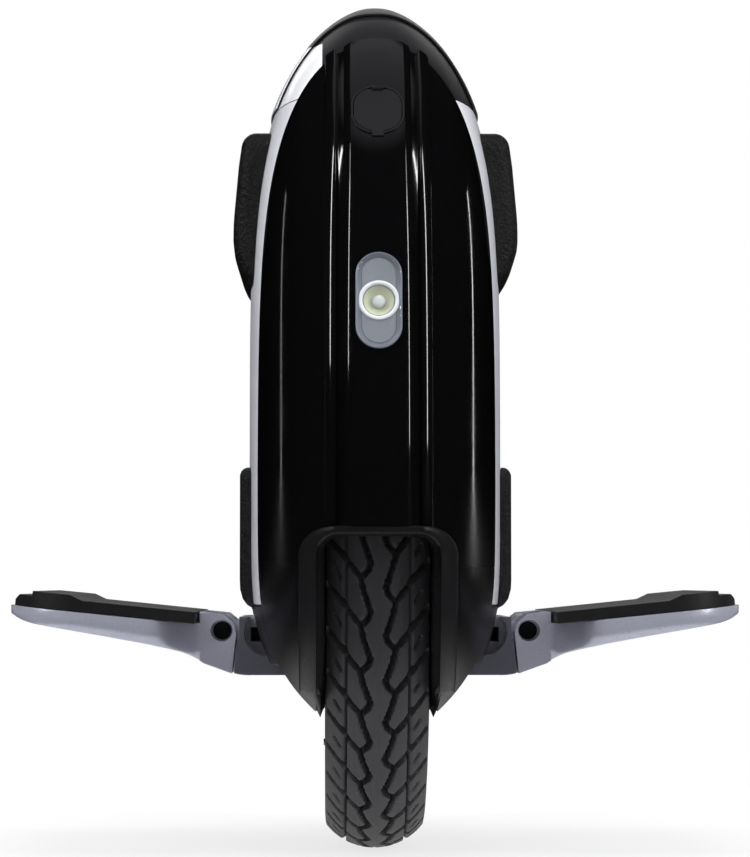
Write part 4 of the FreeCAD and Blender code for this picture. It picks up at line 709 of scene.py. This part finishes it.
def grooveDepth(pitch, across, t):
    # depth of cut at points of one pitch: the nearest distance to each groove's line sets a soft-walled
    # channel; the other half of the tread is mirrored and half a pitch on
    depth = np.zeros(np.broadcast(pitch, across).shape)
    pitchMm = 2 * math.pi * t["radius"] / t["pitches"]
    side = np.abs(across)
    along = np.where(across < 0, pitch, pitch + 0.5) % 1
    for route, width, cut in t["grooves"]:
        nearest = np.full(depth.shape, 1e9)
        for (a0, s0), (a1, s1) in zip(route, route[1:]):
            for turn in (-2, -1, 0, 1, 2):
                da, ds = (a1 - a0) * pitchMm, s1 - s0
                pa, ps = (along + turn - a0) * pitchMm, side - s0
                share = np.clip((pa * da + ps * ds) / (da * da + ds * ds), 0, 1)
                nearest = np.minimum(nearest, np.hypot(pa - share * da, ps - share * ds))
        step = np.clip((width / 2 + t["edge"] - nearest) / (2 * t["edge"]), 0, 1)
        depth = np.maximum(depth, cut * step * step * (3 - 2 * step))
    for place, width, cut in t["seamLines"]:
        depth = np.maximum(depth, cut * np.clip(1 - np.abs(side - place) / width, 0, 1))
    return depth


def tyreShape(t):
    # a closed section turned round the axle; the tread's arc is cut by the grooves towards the arc's centre
    arc = (t["treadHalf"] ** 2 + t["treadDrop"] ** 2) / (2 * t["treadDrop"])
    limit = math.asin(t["treadHalf"] / arc)
    lean = np.linspace(-limit, limit, t["columns"])
    perPitch = np.arange(t["samples"])[:, None] / t["samples"]
    depth = grooveDepth(perPitch, (lean * arc)[None, :], t)
    depth *= np.clip((limit - np.abs(lean)) * arc / t["shoulder"], 0, 1)
    treadX = (arc - depth) * np.sin(lean)
    treadR = t["radius"] - arc + (arc - depth) * np.cos(lean)
    outX, outDrop = np.array(t["wall"]).T
    inX, inDrop = np.array(t["inside"]).T
    restX = np.concatenate([outX, inX, -inX[::-1], -outX[::-1]])
    restR = t["radius"] - np.concatenate([outDrop, inDrop, inDrop[::-1], outDrop[::-1]])
    sectionX = np.concatenate([treadX, np.broadcast_to(restX, (t["samples"], len(restX)))], axis=1)
    sectionR = np.concatenate([treadR, np.broadcast_to(restR, (t["samples"], len(restR)))], axis=1)
    sectionX, sectionR = (np.tile(part, (t["pitches"], 1)) for part in (sectionX, sectionR))
    turn = (np.arange(len(sectionX)) / len(sectionX) * 2 * math.pi)[:, None]
    points = np.stack([sectionX, -sectionR * np.cos(turn), t["axle"] - sectionR * np.sin(turn)], axis=-1)
    return grid(points, wrapRows=True, wrapCols=True)


makePiece("treadedTyre", [tyreShape(tyre)], "wheel", tyreRubber, ["tyre"], 50, True)
print("tyre made")


lamp = {
    "bezel": [(0.0, -2.0), (0.0, 0.1), (0.2, 0.25), (0.55, 0.2), (0.8, -0.1), (2.7, -1.5), (2.85, -1.95),
              (3.15, -1.95), (3.3, -1.55)],
    "plateInset": 3.3, "plateDrop": -1.55, "hole": 8.0, "holeWall": 1.4,
    "ring": [(8.3, -2.4), (8.45, -1.2), (8.9, -0.75), (9.7, -0.6), (10.3, -0.75), (10.6, -1.2),
             (10.6, -2.0), (8.3, -2.4)],
    "bowl": [(0.0, -6.0), (4.6, -6.0), (8.5, -2.4), (8.5, -1.8), (7.8, -2.8), (6.9, -3.6), (5.6, -4.4),
             (4.2, -4.9), (3.2, -5.1), (0.0, -5.1)],
    "dome": [(0.0, -5.0), (3.6, -5.0), (3.6, -4.2), (3.4, -3.4), (2.9, -2.7), (2.1, -2.25), (1.1, -2.05),
             (0.0, -2.0)],
    "lens": [(0.9, -1.4), (0.8, -0.1), (0.95, 0.15), (1.4, 0.3), (3.0, 0.5), (6.0, 0.62), (9.0, 0.65)],
}


def turnedAt(place, profile, sides=64):  # a profile of (radius, out) turned about the place's own axis
    radius, out = np.array(profile, float).T
    turn = np.linspace(0, 2 * math.pi, sides + 1)[:-1]
    across, up = radius[:, None] * np.cos(turn), radius[:, None] * np.sin(turn)
    return grid(inPlace(place, across, up, out[:, None] + 0 * across), wrapCols=True)


def lampFrame(place, p):  # a rim, a plate from the rim's inner outline to a round hole, and a plain back
    across, up = pillLoop(*(half - p["plateInset"] for half in place["half"]), 33, 9)
    turn = np.arctan2(up, across)
    share = np.array([0, 0.25, 0.5, 0.75, 1.0, 1.0])[:, None]
    flatX = across + share * (p["hole"] * np.cos(turn) - across)
    flatUp = up + share * (p["hole"] * np.sin(turn) - up)
    out = p["plateDrop"] - np.array([0, 0, 0, 0, 0, p["holeWall"]])[:, None] + 0 * flatX
    rim, plate = pillRings(place, p["bezel"]), inPlace(place, flatX, flatUp, out)
    return [grid(rings, wrapCols=True) for rings in (rim, plate, np.stack([plate[-1], rim[0]]))]


def lensSurface(place, p):  # a shallow dome over the whole outline, and its inner face
    rings = pillRings(place, p["lens"])
    middle = rings[-1].mean(axis=0)
    share = np.linspace(0, 1, 4)[1:, None, None]
    top = np.concatenate([rings, rings[-1] + share * (middle - rings[-1])])
    inner = rings[0] + np.linspace(0, 1, 4)[:, None, None] * (rings[0].mean(axis=0) - rings[0])
    return [grid(top, wrapCols=True), grid(inner, wrapCols=True, flip=True)]


frameShape = lampFrame(lampPlace, lamp)
glassShape = lensSurface(lampPlace, lamp)
ringShape, bowlShape, ledShape = ([turnedAt(lampPlace, lamp[part])] for part in ("ring", "bowl", "dome"))
for name, shape, slot, material, node, sharp, outward in (
    ("headlightFrame", frameShape, "silver_trim", silverPaint, "headlight_bezel", 50, True),
    ("headlightCone", bowlShape, "silver_trim", reflectorCoat, "headlight_reflector", 50, True),
    ("headlightRing", ringShape, "silver_trim", whiteRing, "headlight_reflector", 50, True),
    ("headlightLed", ledShape, "clear_lens", ledDome, "headlight_led", 60, True),
    ("headlightLens", glassShape, "clear_lens", clearPlastic, "headlight_lens", 60, False),
    ("tailLightFrame", mirrored(frameShape, 1), "black_plastic", blackPlastic, "tail_light_housing", 50,
     True),
    ("tailLightLens", mirrored(glassShape, 1), "red_lens", redPlastic, "tail_light_lens", 60, False),
):
    makePiece(name, shape, "chassis", material, [node], sharp, outward)
print("headlight made")


deck = {
    "low": [(94.0, 105.2), (99.0, 108.2), (104.0, 111.0), (112.0, 113.8), (124.0, 116.6), (142.4, 120.0),
            (188.8, 128.2), (196.0, 130.8), (200.4, 134.0)],
    "half": [(94.0, 61.4), (98.0, 62.6), (102.0, 67.0), (107.0, 79.0), (111.0, 89.5), (115.0, 96.0),
             (121.0, 99.4), (126.0, 100.0), (164.4, 100.0)],
    "seat": (98.4, 127.5), "slope": 0.1015, "corner": 36.0, "round": 7.0, "rim": 0.8, "rootEnd": 97.0,
    "flare": (126.0, 40), "plain": (128.0, 14),  # where each stretch ends or starts, and its rows
}


def softened(route, x, window=3.0):  # heights along a route of points, with its corners rounded
    xs, values = np.array(route).T
    return np.mean([np.interp(x + shift, xs, values) for shift in np.linspace(-window, window, 9)], axis=0)


def deckShape(d):
    # sections from the root to the tip: a flat seat, a wall and a round lower edge; the tip's corners
    # are arcs in plan
    cornerStart, fullHalf = d["half"][-1]
    flareEnd, flareRows = d["flare"]
    plainStart, plainRows = d["plain"]
    straight = np.concatenate([np.linspace(d["half"][0][0], flareEnd, flareRows),
                               np.linspace(plainStart, cornerStart, plainRows)])
    turn = np.linspace(0, math.pi / 2, 20)[1:]
    x = np.concatenate([straight, cornerStart + d["corner"] * np.sin(turn)])
    tip = fullHalf - d["corner"] * (1 - np.cos(turn))
    half = np.concatenate([softened(d["half"], straight), tip])[:, None]
    low = softened(d["low"], x)[:, None]
    top = d["seat"][1] + d["slope"] * (x[:, None] - d["seat"][0])
    edge = np.minimum(d["round"], 0.6 * (top - low))
    bend = np.linspace(0, math.pi / 2, 10)
    rim = d["rim"]
    y = np.concatenate([0 * half, half / 2, half - rim, half - rim / 4, half,
                        half - edge * (1 - np.cos(bend)), half / 3, 0 * half], axis=1)
    z = np.concatenate([top, top, top, top - rim / 4, top - rim, low + edge * (1 - np.sin(bend)), low, low],
                       axis=1)
    y = np.concatenate([y, -y[:, -2:0:-1]], axis=1)
    z = np.concatenate([z, z[:, -2:0:-1]], axis=1)
    rings = np.stack([x[:, None] + 0 * y, y, z], axis=-1)
    share = np.linspace(0, 1, 3)[:, None, None]
    caps = [ring + share * (ring.mean(axis=0) - ring) for ring in (rings[-1], rings[0])]
    return [grid(rings, wrapCols=True), grid(caps[0], wrapCols=True),
            grid(caps[1], wrapCols=True, flip=True)]


shape = deckShape(deck)
for side, surfaces in (("Right", shape), ("Left", mirrored(shape, 0))):
    label = side.lower()
    makePiece("deck" + side, surfaces, f"pedal_{label}_body", castAlloy, [f"pedal_{label}"],
              40, True)
web = {"half": 8.0, "lower": [(63.1, 117.0), (69.7, 117.0)], "upper": [(63.1, 125.0), (69.7, 125.0)]}
heel = {
    "half": 61.9, "round": 0.6,
    "lower": [(66.0, 99.1), (69.0, 98.9), (72.5, 99.0), (75.5, 99.4), (78.2, 100.1), (77.4, 108.0),
              (76.2, 119.0)],
    "upper": [(66.0, 104.0), (68.0, 104.0), (70.0, 104.5), (72.0, 105.0), (73.5, 106.0), (74.0, 110.0),
              (74.0, 119.0)],
}


def prism(sizes):  # a closed block along Y between two edges of (x, z)
    ends = [np.array([[[x, y, z] for x, z in sizes[edge]] for edge in ("lower", "upper")])
            for y in (-sizes["half"], sizes["half"])]
    loops = np.stack([np.concatenate([end[0], end[1, ::-1]]) for end in ends])
    return [grid(ends[0]), grid(ends[1], flip=True), grid(loops, wrapCols=True)]


# the web closes the hanger's window; the heel runs along its lower edge up to the pedal's root
for label, sizes, material in (("hangerWeb", web, bracketSteel), ("hangerHeel", heel, hangerAlloy)):
    shape = prism(sizes)
    for side, surfaces in (("Right", shape), ("Left", mirrored(shape, 0))):
        piece = makePiece(label + side, surfaces, "chassis", material,
                          [f"hanger_{side.lower()}"], 40, True)
        if "round" in sizes:
            ease(piece, sizes["round"])
print("pedal decks made")


easedNodes = {
    "carry_handle": ("carryHandle", handleSkin, 1.2), "handle_band": ("handleBand", handleSkin, 0.5),
    "charge_cap": ("chargeCap", blackPlastic, 0.3), "charge_socket": ("chargeSocket", blackPlastic, 0.3),
    "hanger_left": ("hangerLeft", hangerAlloy, 1.0), "hanger_right": ("hangerRight", hangerAlloy, 1.0),
    "lower_guard_left": ("guardLeft", blackPlastic, 1.0),
    "lower_guard_right": ("guardRight", blackPlastic, 1.0),
    "pedal_left": ("pedalLeft", castAlloy, 0.9, -deck["rootEnd"]),
    "pedal_right": ("pedalRight", castAlloy, 0.9, deck["rootEnd"]),
    "pedal_grip_left": ("gripLeft", gripRubber, 0.8), "pedal_grip_right": ("gripRight", gripRubber, 0.8),
}
slotOf = {entry["node"]: entry["material_slot"] for entry in frame["record"]["subparts"]}
for node, (name, *finish) in easedNodes.items():
    easedCopy(name, node, slotOf[node], *finish)
print("eased solids made")


stage = {
    "floor": "F2F2F2", "floorHalf": 7000.0, "white": 1.0, "fill": 0.5, "shadow": 0.25,
    "shadowFade": (0.12, 0.7),  # metres from the middle
}
tent = {  # a dim round tent that only mirror rays see, in millimetres
    "reach": 3300.0, "foot": -50.0, "top": 2600.0, "cardHole": 260.0, "cardHeight": 3.0,
    "glowFull": 950.0, "glowEnd": 1300.0, "glow": 0.43, "dark": 0.004, "ceilingOver": 2000.0,
    "tint": (0.95, 0.96, 1.0, 1.0), "sides": 64,
}


def showsBackdrop(tree):  # camera, mirror and see-through rays see the plain white of the studio
    rays = addNode(tree, "LightPath").outputs
    seen = maths(tree, "MAXIMUM", rays["Is Camera Ray"], rays["Is Glossy Ray"])
    return maths(tree, "MAXIMUM", seen, rays["Is Transmission Ray"])


def distance(tree, place):
    return addNode(tree, "VectorMath", {0: place}, operation="LENGTH").outputs["Value"]


def stageObject(name, surfaces, material):
    points, quads = joined(surfaces)
    mesh = bpy.data.meshes.new(name)
    mesh.from_pydata(points.tolist(), [], quads.tolist())
    mesh.materials.append(material)
    piece = bpy.data.objects.new(name, mesh)
    bpy.context.scene.collection.objects.link(piece)
    return piece


floorMaterial, tree = newMaterial("studioFloor")
matt = addNode(tree, "BsdfDiffuse", {"Color": hexLinear(stage["floor"])})
glow = addNode(tree, "Emission", {"Color": (1, 1, 1, 1), "Strength": stage["white"]})
fade = ramp(tree, distance(tree, objectPlace(tree)), stage["shadowFade"], (1 - stage["shadow"], 1.0),
            interpolation_type="SMOOTHSTEP")
mixed = addNode(tree, "MixShader", {"Fac": maths(tree, "MULTIPLY", showsBackdrop(tree), fade),
                                    1: matt.outputs["BSDF"], 2: glow.outputs["Emission"]})
addNode(tree, "OutputMaterial", {"Surface": mixed.outputs["Shader"]})
half = stage["floorHalf"]
square = np.array([[[-half, -half, 0], [half, -half, 0]], [[-half, half, 0], [half, half, 0]]])
floor = stageObject("floor", [grid(square)], floorMaterial)

flagMaterial, tree = newMaterial("blackFlag")
place = objectPlace(tree)
overhead = maths(tree, "GREATER_THAN", alongAxis(tree, place, "Z"), tent["ceilingOver"] * mm)
level = addNode(tree, "VectorMath", {0: place, 1: (1, 1, 0)}, operation="MULTIPLY").outputs["Vector"]
glow = ramp(tree, distance(tree, level), (tent["glowFull"] * mm, tent["glowEnd"] * mm),
            (tent["glow"], tent["dark"]), interpolation_type="SMOOTHSTEP")
dim = addNode(tree, "Emission", {"Color": tent["tint"],
                                 "Strength": maths(tree, "MULTIPLY", overhead, glow)})
addNode(tree, "OutputMaterial", {"Surface": dim.outputs["Emission"]})


def circles(*rings):  # level circles of (radius, height), joined in turn
    turn = np.linspace(0, 2 * math.pi, tent["sides"] + 1)
    sine, cosine = np.sin(turn), np.cos(turn)
    return grid(np.stack([np.stack([reach * sine, -reach * cosine, 0 * turn + height], axis=-1)
                          for reach, height in rings]))


reach, top = tent["reach"], tent["top"]
flag = stageObject("blackFlag", [
    circles((reach, tent["foot"]), (reach, top)),
    circles((tent["cardHole"], tent["cardHeight"]), (reach, tent["cardHeight"])),
    circles((reach, top), (tent["glowEnd"], top), (tent["glowFull"], top), (0.0, top)),
], flagMaterial)
flag.visible_camera = False
flag.visible_diffuse = False
flag.visible_transmission = False
flag.visible_shadow = False

world = bpy.data.worlds.new("studio")
bpy.context.scene.world = world
world.use_nodes = True
world.node_tree.nodes.clear()
tree = world.node_tree
level = ramp(tree, showsBackdrop(tree), (0.0, 1.0), (stage["fill"], stage["white"]))
sky = addNode(tree, "Background", {"Color": (1, 1, 1, 1), "Strength": level})
addNode(tree, "OutputWorld", {"Surface": sky.outputs["Background"]})

def turnedTo(piece, place, aim):  # lights and camera look along their own -Z
    piece.location = place
    piece.rotation_euler = (Vector(aim) - Vector(place)).to_track_quat("-Z", "Y").to_euler()
    bpy.context.scene.collection.objects.link(piece)


lights = {  # place and aim in metres, size in metres, power in watts
    "stripLeft": ((-1.7, -1.1, 1.68), (0, 0, 0.35), (0.09, 2.0), 22),
    "stripRight": ((1.7, -1.1, 1.42), (0, 0, 0.35), (0.09, 2.3), 25),
    "overhead": ((0.0, -0.5, 2.1), (0, 0, 0.3), (1.2, 0.9), 22),
    "back": ((0.0, 1.9, 1.4), (0, 0, 0.3), (1.6, 0.8), 7),
    "rimLeft": ((-1.3, 1.15, 0.35), (0, 0, 0.3), (0.03, 1.0), 0.15),
    "rimRight": ((1.3, 1.15, 0.35), (0, 0, 0.3), (0.03, 1.0), 0.6),
}
for name, (place, aim, extent, power) in lights.items():
    lightData = bpy.data.lights.new(name, "AREA")
    lightData.shape = "RECTANGLE"
    lightData.size, lightData.size_y = extent
    lightData.energy = power
    light = bpy.data.objects.new(name, lightData)
    light.visible_glossy = name != "overhead"
    turnedTo(light, place, aim)

view = {"place": (-0.025, -1.9, 0.15), "aim": (0.0006, 0.0, 0.238), "lens": 139.7, "sensor": 36.0}
cameraData = bpy.data.cameras.new("camera")
cameraData.lens = view["lens"]
cameraData.sensor_width = view["sensor"]
camera = bpy.data.objects.new("camera", cameraData)
turnedTo(camera, view["place"], view["aim"])
bpy.context.scene.camera = camera
bpy.context.scene.view_settings.view_transform = "Standard"
print("stage and camera set")
